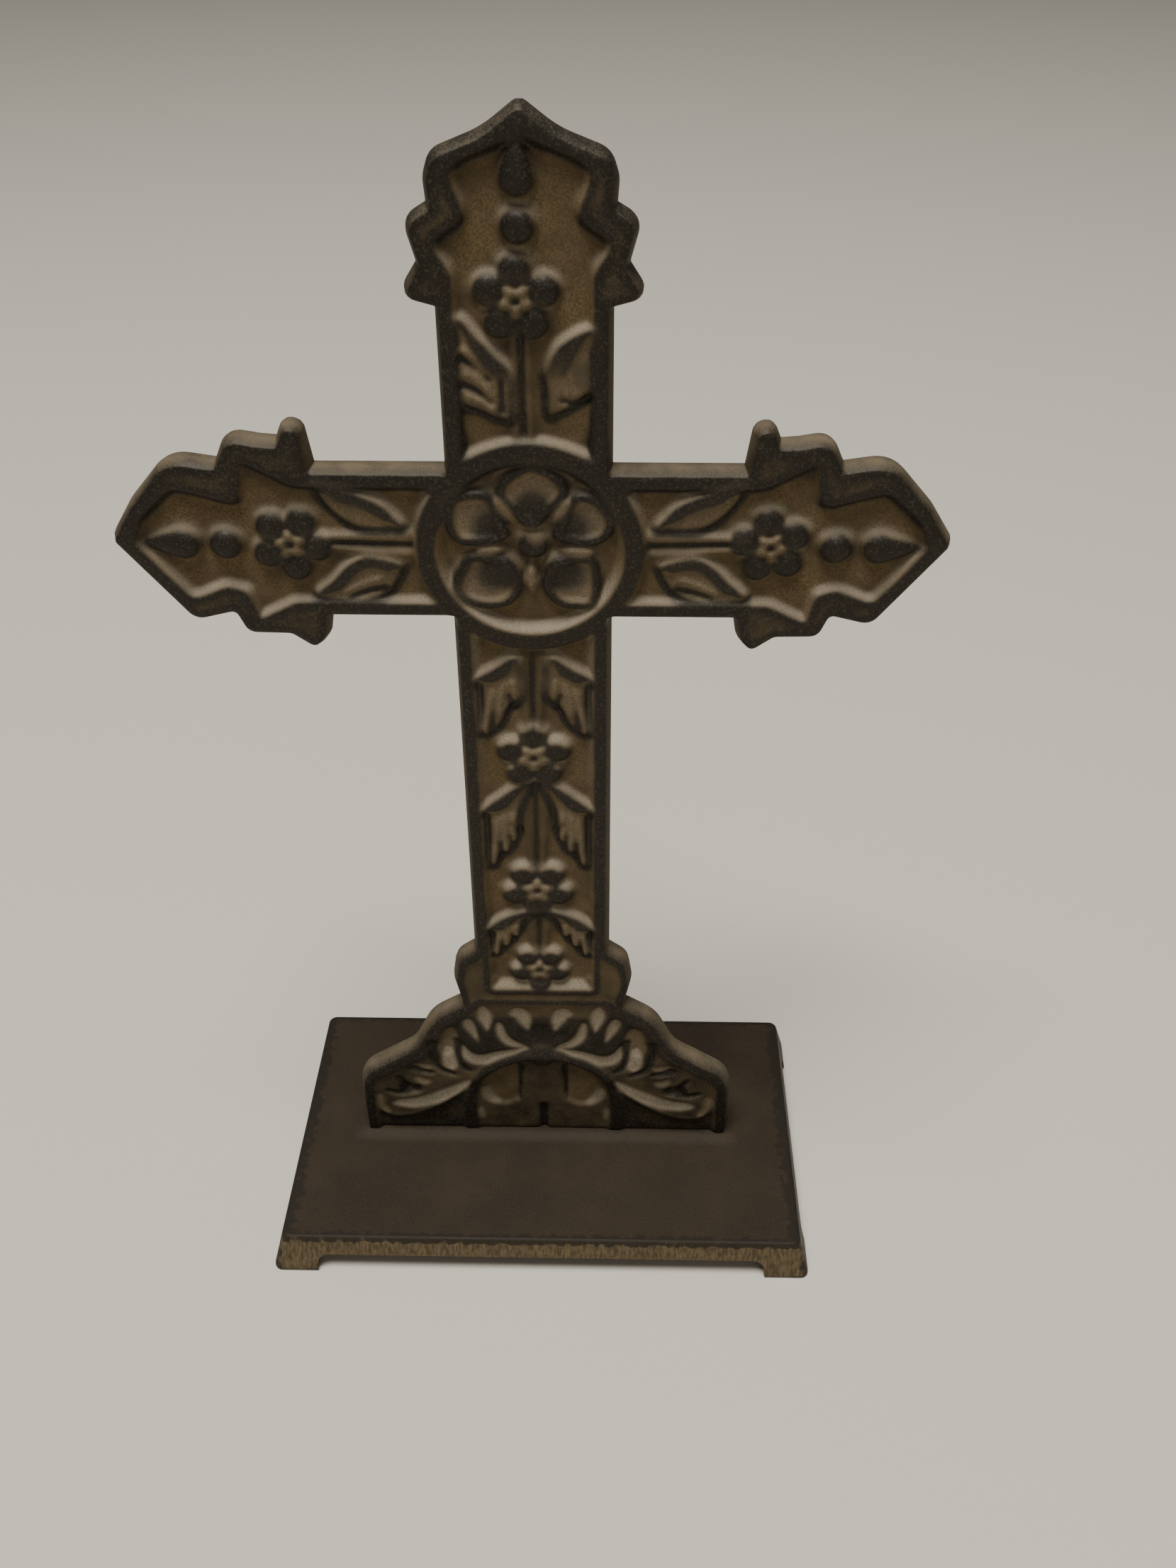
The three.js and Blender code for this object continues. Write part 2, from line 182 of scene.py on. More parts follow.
# The trimmed edge is drawn onto the outline, and the cells next to it are evened out
edge_verts = [vert for vert in sheet.verts if vert.is_boundary]
edge_now = np.array([vert.co.xy for vert in edge_verts])
_, edge_point, edge_out = nearest_on(OUTLINE, edge_now[:, 0], edge_now[:, 1])
for vert, point, outward in zip(edge_verts, edge_point, edge_out):
    vert.co.xy = point
    vert[base_layer] = (*point, 0)
    vert[outward_layer] = Vector((*outward, 0)).normalized()
second_row = {
    other for vert in edge_verts for edge in vert.link_edges
    for other in edge.verts if not other.is_boundary}
for _ in range(EVENING_ROUNDS):
    bmesh.ops.smooth_vert(
        sheet, verts=list(second_row), factor=0.5, use_axis_x=True, use_axis_y=True)

# Cross: rim and sunk ground
# A flat rim follows the outline around a sunk, sandy ground; where the rim is wide, in the terminals
# and over the foot, its middle is sunk a little and rubbed. Heights are measured from the front plane.
PANEL_HALF = 14.1
GROUND = -2.1
FOOT_GROUND = -1.9
SLOPE = 1.7
LOWER_SLOPE = 1.8
LOWER_END = 73
WIDE_RIM_TOP = 82
MIDDLE_SUNK = 0.3
EDGE_SUNK = 0.3
OVER_PANEL = [
    (50, PANEL_HALF + 0.2, 8), (60.9, 20.2, 1.2), (62.9, 10.2, 1.6), (76.5, 13.8, 4), (84.5, 6.6, 8),
    (86.4, 0.6, 1),
]
UNDER_PANEL = [
    (52.5, PANEL_HALF - 0.2, 6), (61.2, 18.4, 1.2), (63.4, 11.2, 2.2), (67.4, 10, 2.5), (75.6, 13.4, 3),
]
PANEL = mirrored([
    (0, APEX - 3.9, 1),
    (14.6, APEX - 9.6, 4.5),
    (10.7, APEX - 18.8, 3.4),
    (18.2, APEX - 23.6, 3.2),
    (PANEL_HALF, APEX - 29.6, 6),
    (PANEL_HALF, ARM_AXIS + PANEL_HALF, 0),
    *over_arm(OVER_PANEL),
    *under_arm(UNDER_PANEL),
    (PANEL_HALF, ARM_AXIS - PANEL_HALF, 0),
    (PANEL_HALF, 67.4, 1.5),
])
FOOT_PANEL = mirrored([
    (17.6, 62.4, 1.5),
    (19.6, 58, 2),
    (27.2, 53.4, 9),
    (32.6, 41.6, 9),
    (FOOT_HALF - 2.2, 31, 7),
    (FOOT_HALF - 2.2, SEAT - 4, 0),
])


def ease(share):
    """Smooth rise from 0 to 1."""
    share = np.clip(share, 0, 1)
    return share * share * (3 - 2 * share)


sheet.verts.index_update()
face_x, face_z = np.array([vert.co.xy for vert in sheet.verts]).T
edge_gap = nearest_on(OUTLINE, face_x, face_z)[0]
panel_depth = depth_inside(PANEL, face_x, face_z)
foot_depth = depth_inside(FOOT_PANEL, face_x, face_z)
long_slope = SLOPE + LOWER_SLOPE * ease((LOWER_END - face_z) / 3)
height = GROUND * ease(panel_depth / long_slope) + FOOT_GROUND * ease(foot_depth / SLOPE)
rim_middle = np.minimum(edge_gap, np.minimum(-panel_depth, -foot_depth))
rubbed_middle = ease((rim_middle - 1.1) / 0.7) * np.where(face_z < WIDE_RIM_TOP, 1, 0.5)
height -= MIDDLE_SUNK * rubbed_middle
height -= EDGE_SUNK * (1 - ease(edge_gap / 1.0))
rim_faces = nearest_on(PANEL, face_x, face_z)[2][:, 1]
# Painted shade: under the rims above the ground, the dark reaches down over the slope into the ground.
shade_under_rim = 1.4 * ease(1.3 * rim_faces)
dark = (1 - ease((panel_depth - shade_under_rim + 0.1) / 0.6)) * (1 - ease((foot_depth + 0.1) / 0.6))
dark -= 0.6 * rubbed_middle
# Dust and painted highlight on the slopes that face up, where the ground rises to the rims below it.
pale = ease(-1.4 * rim_faces - 0.2) * ease((panel_depth - 0.1) / 0.5)
pale *= 1 - ease((panel_depth - long_slope + 0.3) / 0.6)


def swell(near, level, blend=0.5):
    """Raise the face to a level, with a small fillet where the two meet."""
    under = height[near]
    overlap = np.maximum(blend - np.abs(under - level), 0)
    height[near] = np.maximum(under, level) + overlap ** 2 / (4 * blend)


def blacken(near, share):
    """Darken the face, both for its dark coat and for painted shade where shade falls."""
    dark[near] = np.maximum(dark[near], share)


def whiten(near, share):
    """Make the face paler: dusty grey-tan, light tan, and painted highlight on slopes that face up."""
    pale[near] = np.maximum(pale[near], share)


def bead(x, z, radius, rise, ground=GROUND, top_paleness=0.0):
    """Round dark bead that stands half out of the ground; its upper side is dusty and carries a painted
    highlight, and the pale reaches further over its top the larger its last argument is."""
    gap = np.hypot(face_x - x, face_z - z)
    near = gap < 1.5 * radius
    gap = gap[near]
    share = gap / radius
    dome = np.sqrt(1 - np.minimum(share, 1) ** 2.4) - 2.5 * np.maximum(share - 1, 0)
    swell(near, ground + rise * dome, 1.0)
    upper = ease(1.3 * (face_z[near] - z) / np.maximum(gap, 0.1))
    edge = 1.0 - 0.6 * top_paleness * upper
    blacken(near, 1 - ease((share - edge + 0.22) / 0.25))
    whiten(near, upper * ease((share - edge + 0.1) / 0.2) * (1 - ease((share - 1.15) / 0.25)))


# Cross: ring and rose at the crossing
# A flat ring crosses the rims; inside it a shallow dish holds a dog rose with five cupped petals,
# a sepal between each two of them and a round heart. Ring and rose are cast with the cross.
RING_CENTRE = ARM_AXIS - 0.6
RING_INNER = 20.8
RING_OUTER = 24.4
RING_PROUD = 0.25
DISH = -2.4
DISH_FLAT = 18.2
PETAL_RISE = 2.3
PETAL_HOLLOW = 1.2
SEPAL_WIDTH = 3.2
SEPAL_RISE = 2.2
HEART_RADIUS = 3.7
HEART_RISE = 2.9
PETALS = [
    [(0.4, 5), (-3.4, 8.8), (-6.5, 12.6), (-5.6, 16), (-1.6, 19), (1.2, 19.5), (5, 18), (8, 14.8),
     (7, 11.6), (3.8, 8.4)],
    [(-4.8, 3.4), (-6.4, 8), (-8.2, 12.4), (-12, 13.5), (-16.6, 12), (-17.9, 8), (-17.2, 4), (-15, 1.5),
     (-9.6, 1.4)],
    [(-4.2, -3), (-7, -1.7), (-12.8, -1.5), (-15.2, -4.4), (-16.9, -8.6), (-15.2, -12.4), (-10.6, -14.2),
     (-5.6, -13.6), (-2.6, -10.2), (-2.6, -6)],
    [(4.4, -3), (3.6, -6), (3.1, -9.4), (6, -13.4), (10, -14.2), (13.8, -13.6), (15, -9.4), (14.8, -4.6),
     (13.4, -1.8), (8.6, -1.6)],
    [(5.4, 3.4), (7, 7.8), (9, 11.9), (11.8, 13), (15.4, 11.4), (18, 7.6), (17.2, 3.6), (14, 1.5),
     (9.6, 1.6)],
]
SEPALS = [
    (-3.2, 6.2, 122, 7.5), (4.7, 6, 58, 7.5), (-5, 0, 182, 7), (6, -0.2, 358, 8.5), (0.2, -3, 270, 7.5),
]


def local_axes(x, z, angle):
    """Distances along and across a direction, from a point of the face."""
    along = (face_x - x) * math.cos(angle) + (face_z - z) * math.sin(angle)
    across = (face_z - z) * math.cos(angle) - (face_x - x) * math.sin(angle)
    return along, across


def smooth_path(points, closed=False, steps=8):
    """Points of a smooth curve through the given ones."""
    ends = [points[-1], *points, *points[:2]] if closed else [points[0], *points, points[-1]]
    path = []
    for a, b, c, d in zip(ends, ends[1:], ends[2:], ends[3:]):
        a, b, c, d = (np.array(p, float) for p in (a, b, c, d))
        for t in np.arange(steps) / steps:
            path.append(
                0.5 * (2 * b + (c - a) * t + (2 * a - 5 * b + 4 * c - d) * t ** 2
                       + (3 * b - 3 * c + d - a) * t ** 3))
    return np.array(path if closed else path + [np.array(points[-1], float)])


def trace(points, reach, across=face_x):
    """Vertices near a smooth line, their distance from it, the side they lie on (positive to the left
    of its run) and their share of its length."""
    path = smooth_path(points)
    low, high = path.min(0) - reach, path.max(0) + reach
    near = np.flatnonzero((across > low[0]) & (across < high[0]) & (face_z > low[1]) & (face_z < high[1]))
    gap = np.full(len(near), np.inf)
    side = np.ones(len(near))
    share = np.zeros(len(near))
    for i, (start, end) in enumerate(zip(path, path[1:])):
        step = end - start
        to_x = across[near] - start[0]
        to_z = face_z[near] - start[1]
        t = np.clip((to_x * step[0] + to_z * step[1]) / (step @ step), 0, 1)
        away = np.hypot(to_x - t * step[0], to_z - t * step[1])
        closer = away < gap
        gap[closer] = away[closer]
        side[closer] = np.sign(step[0] * to_z - step[1] * to_x)[closer]
        share[closer] = ((i + t) / (len(path) - 1))[closer]
    return near, gap, side, share


def around(outline, margin):
    """Vertices in and near an outline, how far inside it they lie, and how much its edge faces up there."""
    low, high = outline.min(0) - margin, outline.max(0) + margin
    near = np.flatnonzero(
        (face_x > low[0]) & (face_x < high[0]) & (face_z > low[1]) & (face_z < high[1]))
    inset = depth_inside(outline, face_x[near], face_z[near])
    area = np.sum(outline[:, 0] * np.roll(outline[:, 1], -1) - outline[:, 1] * np.roll(outline[:, 0], -1))
    outward = np.sign(area) * nearest_on(outline, face_x[near], face_z[near])[2][:, 1]
    return near, inset, ease(0.35 + 0.9 * outward)


def petal(points):
    """Petal with a raised dark edge, hollow towards its tip and rising into the heart at its root."""
    outline = smooth_path(points, closed=True)
    near, inset, upward = around(outline + (0, RING_CENTRE), 3)
    middle = outline.mean(0)
    along, across = local_axes(0, RING_CENTRE, math.atan2(middle[1], middle[0]))
    along, across = along[near], across[near]
    sunk = PETAL_HOLLOW * ease((inset - 0.8) / 1.8) * ease((along - 4) / 7)
    swell(near, DISH + PETAL_RISE * ease((inset + 1.6) / 2.1) - sunk, 0.3)
    line = ease((inset + 0.9) / 0.5) * (1 - ease((inset - 1.2) / 0.6)) * ease((along - 3) / 3)
    smear = ease(1.5 - np.hypot((along - 7.4) / 6.5, across / 4.6)) * ease(inset / 1.5)
    blacken(near, np.maximum(line, 1.2 * smear))
    whiten(near, 0.5 * ease((inset - 1.5) / 0.8) * ease((along - 9) / 3))
    # Dust and painted highlight on the bevel outside the petal's upper edges, which faces up.
    whiten(near, 0.6 * upward * ease((inset + 2.0) / 0.5) * (1 - ease((inset + 1.1) / 0.4)))


def sepal(x, z, angle, length):
    """Slim raised sepal, widest near its outer end, tapering back to its root."""
    along, across = local_axes(x, z, angle)
    share = np.clip(along / length, 0, 1)
    half = SEPAL_WIDTH / 2 * np.sqrt(np.clip(np.sin(math.pi * share ** 1.3), 0.0025, 1))
    near = (along > -1) & (along < length + 1) & (np.abs(across) < SEPAL_WIDTH)
    edge = np.abs(across[near]) / half[near]
    dome = np.sqrt(1 - np.minimum(edge, 1) ** 2) - np.minimum(2 * np.maximum(edge - 1, 0), 3)
    swell(near, DISH + SEPAL_RISE * dome * np.minimum(1, half[near] / (SEPAL_WIDTH / 2) + 0.2), 0.4)
    on_sepal = 1 - ease((edge - 0.5) / 0.5)
    dark[near] *= 1 - 0.8 * on_sepal
    whiten(near, 0.4 * on_sepal)
    blacken(near, 0.6 * ease((edge - 0.9) / 0.3) * (1 - ease((edge - 1.4) / 0.5)))


ring_gap = np.hypot(face_x, face_z - RING_CENTRE)
in_dish = ring_gap < RING_INNER
dish_level = DISH + (RING_PROUD - DISH) * ease((ring_gap - DISH_FLAT) / (RING_INNER - DISH_FLAT))
band_level = RING_PROUD - (RING_PROUD - GROUND) * ease((ring_gap - RING_OUTER) / SLOPE)
height = np.where(in_dish, dish_level, np.maximum(height, band_level))
# Painted shade: in the upper half of the dish, the ring's dark reaches down its inner slope.
shade_under_band = 1.5 * ease(1.6 * (face_z - RING_CENTRE) / RING_INNER)
band_crest = ease((ring_gap - RING_INNER + shade_under_band + 0.3) / 0.5)
band_crest *= 1 - ease((ring_gap - RING_OUTER - 0.1) / 0.5)
dark = np.maximum(np.where(in_dish, 0, dark), band_crest)
# Dust and painted highlight on slopes that face up: outside the ring above it, and on the dish's slope at
# its bottom.
lit_slope_above_ring = ease(1.8 * (face_z - RING_CENTRE) / RING_OUTER) * ease((ring_gap - RING_OUTER - 0.2) / 0.5)
lit_slope_above_ring *= (1 - ease((ring_gap - RING_OUTER - 1.3) / 0.6)) * ease(panel_depth / 0.6)
lit_low_slope = ease(1.6 * (RING_CENTRE - face_z) / RING_INNER) * ease((ring_gap - DISH_FLAT - 0.2) / 0.6)
lit_low_slope *= 1.3 * (1 - ease((ring_gap - RING_INNER + 0.6) / 0.5))
pale = np.where(ring_gap < RING_OUTER, lit_low_slope, np.maximum(pale, lit_slope_above_ring))
for points in PETALS:
    petal(points)
for x, z, degrees, length in SEPALS:
    sepal(x, RING_CENTRE + z, math.radians(degrees), length)
bead(0.7, RING_CENTRE + 1.2, HEART_RADIUS, HEART_RISE, DISH)
# The heart's upper part is made lighter than its dark lower half.
pale_heart_top = 1 - ease(np.hypot(face_x - 1.4, face_z - RING_CENTRE - 2.8) / 3.4)
dark -= 0.8 * pale_heart_top


# Cross: flowers, drops, stems and leaves of the arms
# Each arm carries a drop and a bead towards its tip, then a five-petalled flower on a ribbed stem
# between two cupped leaves that spread from the ring. All of them are cast with the cross.
DROP_RISE = 2.8
PETAL_REACH = 5.6
PETAL_RADIUS = 3.7
PETAL_HEIGHT = 2.5
STAR_RADIUS = 3.1
STAR_HEIGHT = 2.8
RIB_HEIGHT = 1.7
NOTCH_DEPTH = 0.8
VEIN_HEIGHT = 0.7


def drop(x, z, angle, radius, tail):
    """Drop with its round end at a point and its tail running out along the angle."""
    along, across = local_axes(x, z, angle)
    half = radius * np.clip(1 - np.clip(along / tail, 0, 1) ** 1.3, 0.03, 1)
    near = (along > -1.4 * radius) & (along < tail) & (np.abs(across) < 1.5 * radius)
    round_end = np.hypot(along, across)[near] / radius
    edge = np.where(along[near] < 0, round_end, np.abs(across[near]) / half[near])
    size = np.where(along[near] < 0, 1, half[near] / radius)
    dome = np.sqrt(1 - np.minimum(edge, 1) ** 2.2) - np.minimum(2.5 * np.maximum(edge - 1, 0), 2)
    swell(near, GROUND + DROP_RISE * dome * size ** 0.7, 0.9)
    # Dusty painted highlight on the upper side of a drop that lies level; the rest of it is dark.
    upper = ease(1.4 * (face_z[near] - z) / radius) * (abs(math.cos(angle)) > 0.5)
    limit = 1 - 0.08 * upper
    blacken(near, 1 - ease((edge - limit + 0.25) / 0.3))
    whiten(near, 0.7 * upper * ease((edge - limit + 0.05) / 0.2) * (1 - ease((edge - 1.2) / 0.3)))


def flower(x, z, first_angle, size=1.0, top_paleness=0.0):
    """Five round petals that touch, around a raised star with a small hole."""
    for step in range(5):
        angle = first_angle + step * math.tau / 5
        reach = PETAL_REACH * size
        petal_x, petal_z = x + reach * math.cos(angle), z + reach * math.sin(angle)
        # Each petal is dark below and pale on top, dusty with a painted highlight.
        bead(petal_x, petal_z, PETAL_RADIUS * size, PETAL_HEIGHT, GROUND, top_paleness)
    gap = np.hypot(face_x - x, face_z - z)
    near = gap < 7
    gap = gap[near]
    turn = np.arctan2(face_z[near] - z, face_x[near] - x) - first_angle - math.pi / 5
    star = size * (STAR_RADIUS + 0.4 * top_paleness + 0.6 * np.cos(5 * turn))
    swell(near, GROUND + STAR_HEIGHT * ease((star - gap) / 1.0 + 0.3) - 0.1, 0.3)
    height[near] -= 1.0 * (1 - ease((gap - 0.5) / 0.8))
    on_star = ease((star - gap) / 0.6 + 0.5)
    dark[near] *= 1 - on_star
    pale[near] *= 1 - on_star
    whiten(near, (0.2 + 0.4 * top_paleness) * on_star)
    beside_star = ease((gap - star) / 0.4) * (1 - ease((gap - star - 1.3) / 0.9))
    blacken(near, beside_star)
    blacken(near, 0.8 * (1 - ease((gap - 0.7) / 0.6)))


def stem(start, end, spread=2.0):
    """Stem of two ribs with a groove between them, wider at its start."""
    angle = math.atan2(end[1] - start[1], end[0] - start[0])
    length = math.hypot(end[0] - start[0], end[1] - start[1])
    along, across = local_axes(*start, angle)
    near = (along > -1) & (along < length + 1) & (np.abs(across) < 6)
    along, across = along[near], across[near]
    ends = ease(along / 1.5 + 0.5) * ease((length - along) / 1.5 + 0.5)
    offset = 1.4 + (spread - 1.4) * (1 - ease(along / length))
    ribs = np.exp(-((np.abs(across) - offset) / (0.75 * offset)) ** 2) * ends
    swell(near, GROUND + RIB_HEIGHT * ribs - 0.1, 0.3)
    blacken(near, 0.9 * np.exp(-(across / 0.7) ** 2) * ends)
    # On a level stem the upper rib is pale with dust and a painted highlight; the other ribs are darker,
    # partly painted shade.
    upper_rib = ease(across * math.cos(angle) - 0.5)
    blacken(near, 0.4 * ribs * (1 - upper_rib))
    whiten(near, 0.7 * ribs * upper_rib)


def notch(points, half=0.8, across=face_x):
    """Dark tapered cut between two lobes of a leaf, wide where it starts; its dark is painted shade."""
    near, gap, _, share = trace(points, 2 + half, across)
    cut = 1 - ease((gap / (half * (1.2 - 0.7 * share)) - 0.5) / 0.7)
    height[near] -= NOTCH_DEPTH * cut
    blacken(near, cut)


def vein(points):
    """Low light rib along the blade of a leaf."""
    near, gap, _, share = trace(points, 2)
    rib = np.exp(-(gap / 0.8) ** 2) * ease(4 * share) * ease(6 - 6 * share)
    height[near] += VEIN_HEIGHT * rib
    dark[near] *= 1 - rib
    whiten(near, 0.5 * rib)


def leaf(points, crest, cuts=(), veins=()):
    """Leaf inside an outline: its upper edge is a raised dark crest, partly painted shade, with a dusty
    bevel above it that carries a painted highlight; a painted shadow lines its lower edge; its blade is
    hollow, cut into lobes and crossed by veins."""
    near, inset, upward = around(smooth_path(points, closed=True), 3)
    bevel = 0.9 + 1.0 * upward
    blade = ease((inset + bevel) / (bevel + 0.3))
    edge = upward * (1 - ease((inset - 0.6 * crest) / crest))
    swell(near, GROUND + (1.2 + 0.9 * edge) * blade, 0.3)
    # Dark crest along the edges that face up, partly painted shade; a painted shadow along the edges that
    # face down.
    line = upward * ease((inset + 0.4) / 0.4) * (1 - ease((inset - crest) / 0.6))
    outline = (1 - upward) * ease((inset + 2.0) / 0.6) * (1 - ease((inset - 0.1) / 0.5))
    # Dusty bevel with a painted highlight above the crest; the blade itself is a paler tan.
    whiten(near, upward * ease((inset + bevel) / 0.6) * (1 - ease((inset + 0.6) / 0.5)))
    whiten(near, 0.25 * ease((inset - 0.4) / 0.8))
    blacken(near, np.maximum(line, outline))
    for path in cuts:
        notch(path)
    for path in veins:
        vein(path)


def turned_over(points, side):
    """Points as they are for the right side, mirrored for the left."""
    return [(side * x, z) for x, z in points]


UPPER_FLOWER = ARM_AXIS + 53.6
UPPER_LEFT_LEAF = [
    (-3.4, 228.4), (-3.2, 233), (-3.6, 238.4), (-6.6, 242), (-10, 245.8), (-13.4, 249), (-13, 243),
    (-13.2, 236), (-12.8, 231.6), (-9.4, 230.2), (-6, 228.6),
]
UPPER_LEFT_CUTS = [
    [(-13, 241), (-10.4, 239.8), (-7.4, 236.6)], [(-13, 235.6), (-10, 234.4), (-7, 231.4)],
    [(-5, 230), (-5, 237)],
]
UPPER_LEFT_VEINS = [
    [(-8, 236.4), (-10.6, 241.2), (-13, 243.6)], [(-6.8, 232.4), (-9.6, 236.4), (-13, 238.6)],
    [(-6, 229.4), (-8.8, 232), (-13, 233.2)],
]
UPPER_RIGHT_LEAF = [
    (4.8, 229), (4.6, 233), (4.4, 238), (6, 242), (8.4, 244.6), (13.6, 246.8), (13.2, 241),
    (13.2, 235), (12.2, 233.4), (9.4, 231), (5.6, 229.2),
]
UPPER_RIGHT_CUTS = [[(13.2, 232.8), (10, 231.8), (7.2, 232.4)]]
drop(-0.7, APEX - 11.9, math.pi / 2, 3.9, 9.5)
bead(-0.7, APEX - 20.8, 3.8, 2.9)
stem((-0.6, RING_CENTRE + RING_OUTER), (-0.8, UPPER_FLOWER - 4), 1.5)
leaf(UPPER_LEFT_LEAF, 2.8, UPPER_LEFT_CUTS, UPPER_LEFT_VEINS)
leaf(UPPER_RIGHT_LEAF, 3.6, UPPER_RIGHT_CUTS)
flower(-1.5, UPPER_FLOWER, math.pi / 2)

SIDE_FLOWER = 52.2
FLOWER_TURN = math.radians(-10)
HIGH_LEAF = [
    (27.6, 203.6), (29.5, 206.4), (32, 209), (36, 211), (41, 212.5), (45.5, 213.4), (44.2, 209.8),
    (41, 206), (37.5, 203.8), (33.5, 203.4), (30, 203.6),
]
LOW_LEAF = [
    (28.5, 194.4), (32, 196), (36.5, 196.4), (40, 194.4), (43.5, 190.8), (47.5, 186.8), (42, 186),
    (36.5, 186), (32.3, 187.6), (29.8, 190.6),
]
LOW_CUT = [(32.4, 188.8), (36, 188.2), (40, 186.8)]
LOW_VEIN = [(31.6, 192), (36.5, 190.2), (42.5, 187.4)]
for side in (1, -1):
    outward = 0 if side > 0 else math.pi
    drop(side * 75.8, ARM_AXIS + 0.2, outward, 4.1, 10)
    bead(side * 66.4, ARM_AXIS + 0.2, 3.9, 3.0)
    stem((side * 25.5, ARM_AXIS + 0.2), (side * (SIDE_FLOWER - 5), ARM_AXIS + 0.8), 2.4)
    leaf(turned_over(HIGH_LEAF, side), 2.4)
    leaf(turned_over(LOW_LEAF, side), 2.2, [turned_over(LOW_CUT, side)], [turned_over(LOW_VEIN, side)])
    flower(side * SIDE_FLOWER, ARM_AXIS + 0.5, outward + math.pi + FLOWER_TURN)

# Cross: hanging sprigs of the shaft
# Three sprigs hang one below the other, cast with the cross: a ribbed stem, two drooping lobed leaves
# that mirror each other, and a flower whose petals are dark below and pale on top, dusty with a painted
# highlight.
SPRIGS = [
    (172.0, 143.8, 1, 1.03,
     [(4.2, 171.2), (8.8, 168.4), (13.2, 165.4), (12, 163), (11.8, 157), (12.2, 150.2), (10, 151),
      (7.8, 153.6), (6.6, 156.8), (3.4, 160.4), (3.4, 165.6)],
     [[(5, 157), (6, 161.2)], [(10.2, 151.6), (9.7, 156.6)]],
     [[(5.2, 166), (4.8, 163), (4.4, 160)], [(7, 165.6), (7.8, 160), (8.4, 154.6)],
      [(9.2, 164), (10.8, 157), (12, 150)]]),
    (136.4, 102.6, -1, 1.03,
     [(1.2, 136.2), (5, 134.6), (9.2, 131.2), (13.4, 127.6), (11.8, 125.4), (11.6, 118), (11.6, 109.6),
      (10.4, 112.2), (9, 114.2), (7.6, 114.4), (6.2, 117.4), (5.2, 121), (4.8, 126.4), (3.4, 131)],
     [[(6.8, 115.6), (7, 119.8)], [(9.5, 112), (9.5, 117.6)], [(4.8, 121), (6.2, 123.6)]],
     [[(6, 128), (6.2, 123), (6, 117.4)], [(8, 127.6), (8.3, 121), (7.7, 114.4)],
      [(9.8, 126.4), (10.6, 118), (11.4, 110)]]),
    (95.0, 75.2, -1, 0.9,
     [(1.8, 95), (6, 94.2), (10, 92.2), (13.4, 89), (12, 87), (11.8, 83), (11.8, 79.6), (10, 82),
      (7.6, 85), (5.8, 88), (4.6, 91.6)],
     [[(7.3, 83.8), (7.6, 87.2)], [(10.3, 80.8), (10.3, 84.8)]],
     [[(6.4, 91), (6.6, 88.6), (6.2, 86)], [(8, 91), (9, 86.6), (8.8, 82.4)],
      [(10.4, 89.4), (11.4, 84), (12, 79.6)]]),
]
for root, heart, first_petal, flower_size, outline, cuts, ribs in SPRIGS:
    stem((-0.4, root), (-0.4, heart + 5), 2.4)
    for side in (1, -1):
        leaf(
            turned_over(outline, side), 2.6, [turned_over(cut, side) for cut in cuts],
            [turned_over(rib, side) for rib in ribs])
    flower(-0.5, heart, first_petal * math.pi / 2, flower_size, 0.5)

# Cross: acanthus and scrolls of the bell foot
# A raised acanthus with dusty cuts that carry a painted highlight spreads over the foot; its lower edge
# runs out from a boss into two scrolls that curl up in the corners. Under it an arched roll frames two
# hollow pockets and a slot.
# Both sides mirror each other, and all of it is cast with the cross.
FOOT_MIDDLE = -0.6
SCROLL = [
    (0, 41.4), (6, 40.4), (11, 38), (15, 35.3), (19, 31.5), (23, 27), (28, 22.6), (33, 19.2), (39, 16.8),
    (44.5, 17), (48, 20.6), (49, 26),
]
ROLL = [(0, 42), (8, 40.8), (14, 37.8), (18.4, 32.4), (20.2, 26), (21.2, 19), (20.8, 12)]
foot_x = np.abs(face_x - FOOT_MIDDLE)
in_foot = ease(foot_depth / SLOPE)
near, gap, side, _ = trace(SCROLL, 60, foot_x)
over_scroll = np.full(face_x.shape, -60.0)
over_scroll[near] = gap * side
body = ease((over_scroll + 0.6) / 1.2)
height += in_foot * (0.6 + 1.0 * body)
leafy = ease((face_z - 36) / 6) * (1 - ease((foot_x - 29) / 4))
lobe_tips = ease((face_z - 56) / 2) * (1 - ease((foot_x - 17) / 3))
below_scroll = (1 - body) * ease((foot_x - 19) / 2)
foot_paint = 0.52 + body * (0.03 + 0.4 * leafy - 0.5 * lobe_tips) + 0.25 * below_scroll
dark = np.maximum(dark, ease(foot_depth / 0.6) * foot_paint)
scroll_edge = np.exp(-((over_scroll - 0.2) / 0.9) ** 2) * in_foot
height += 0.3 * scroll_edge
dark = np.maximum(dark, 0.95 * scroll_edge)


def hollow(x, z, degrees, length, width, depth, darkness):
    """Oval hollow in the foot, on both sides."""
    cos, sin = math.cos(math.radians(degrees)), math.sin(math.radians(degrees))
    along = (foot_x - x) * cos + (face_z - z) * sin
    across = (face_z - z) * cos - (foot_x - x) * sin
    share = np.clip(1 - np.hypot(2 * along / length, 2 * across / width) ** 2, 0, 1)
    height[:] -= depth * share ** 0.8 * in_foot
    dark[:] += (darkness - dark) * ease(2.5 * share) * in_foot


def chisel(points, half, depth, shine, peak=1.0, taper=0.5):
    """Dusty cut along a line, on both sides, with a painted highlight, tapered to its ends; a higher peak
    moves its widest place towards its end."""
    near, gap, _, share = trace(points, half + 1, foot_x)
    width = half * np.clip(np.sin(math.pi * share ** peak), 0.02, 1) ** taper
    cut = (1 - ease((gap / width - 0.55) / 0.6)) * in_foot[near]
    height[near] -= depth * cut
    dark[near] *= 1 - cut
    whiten(near, shine * cut)


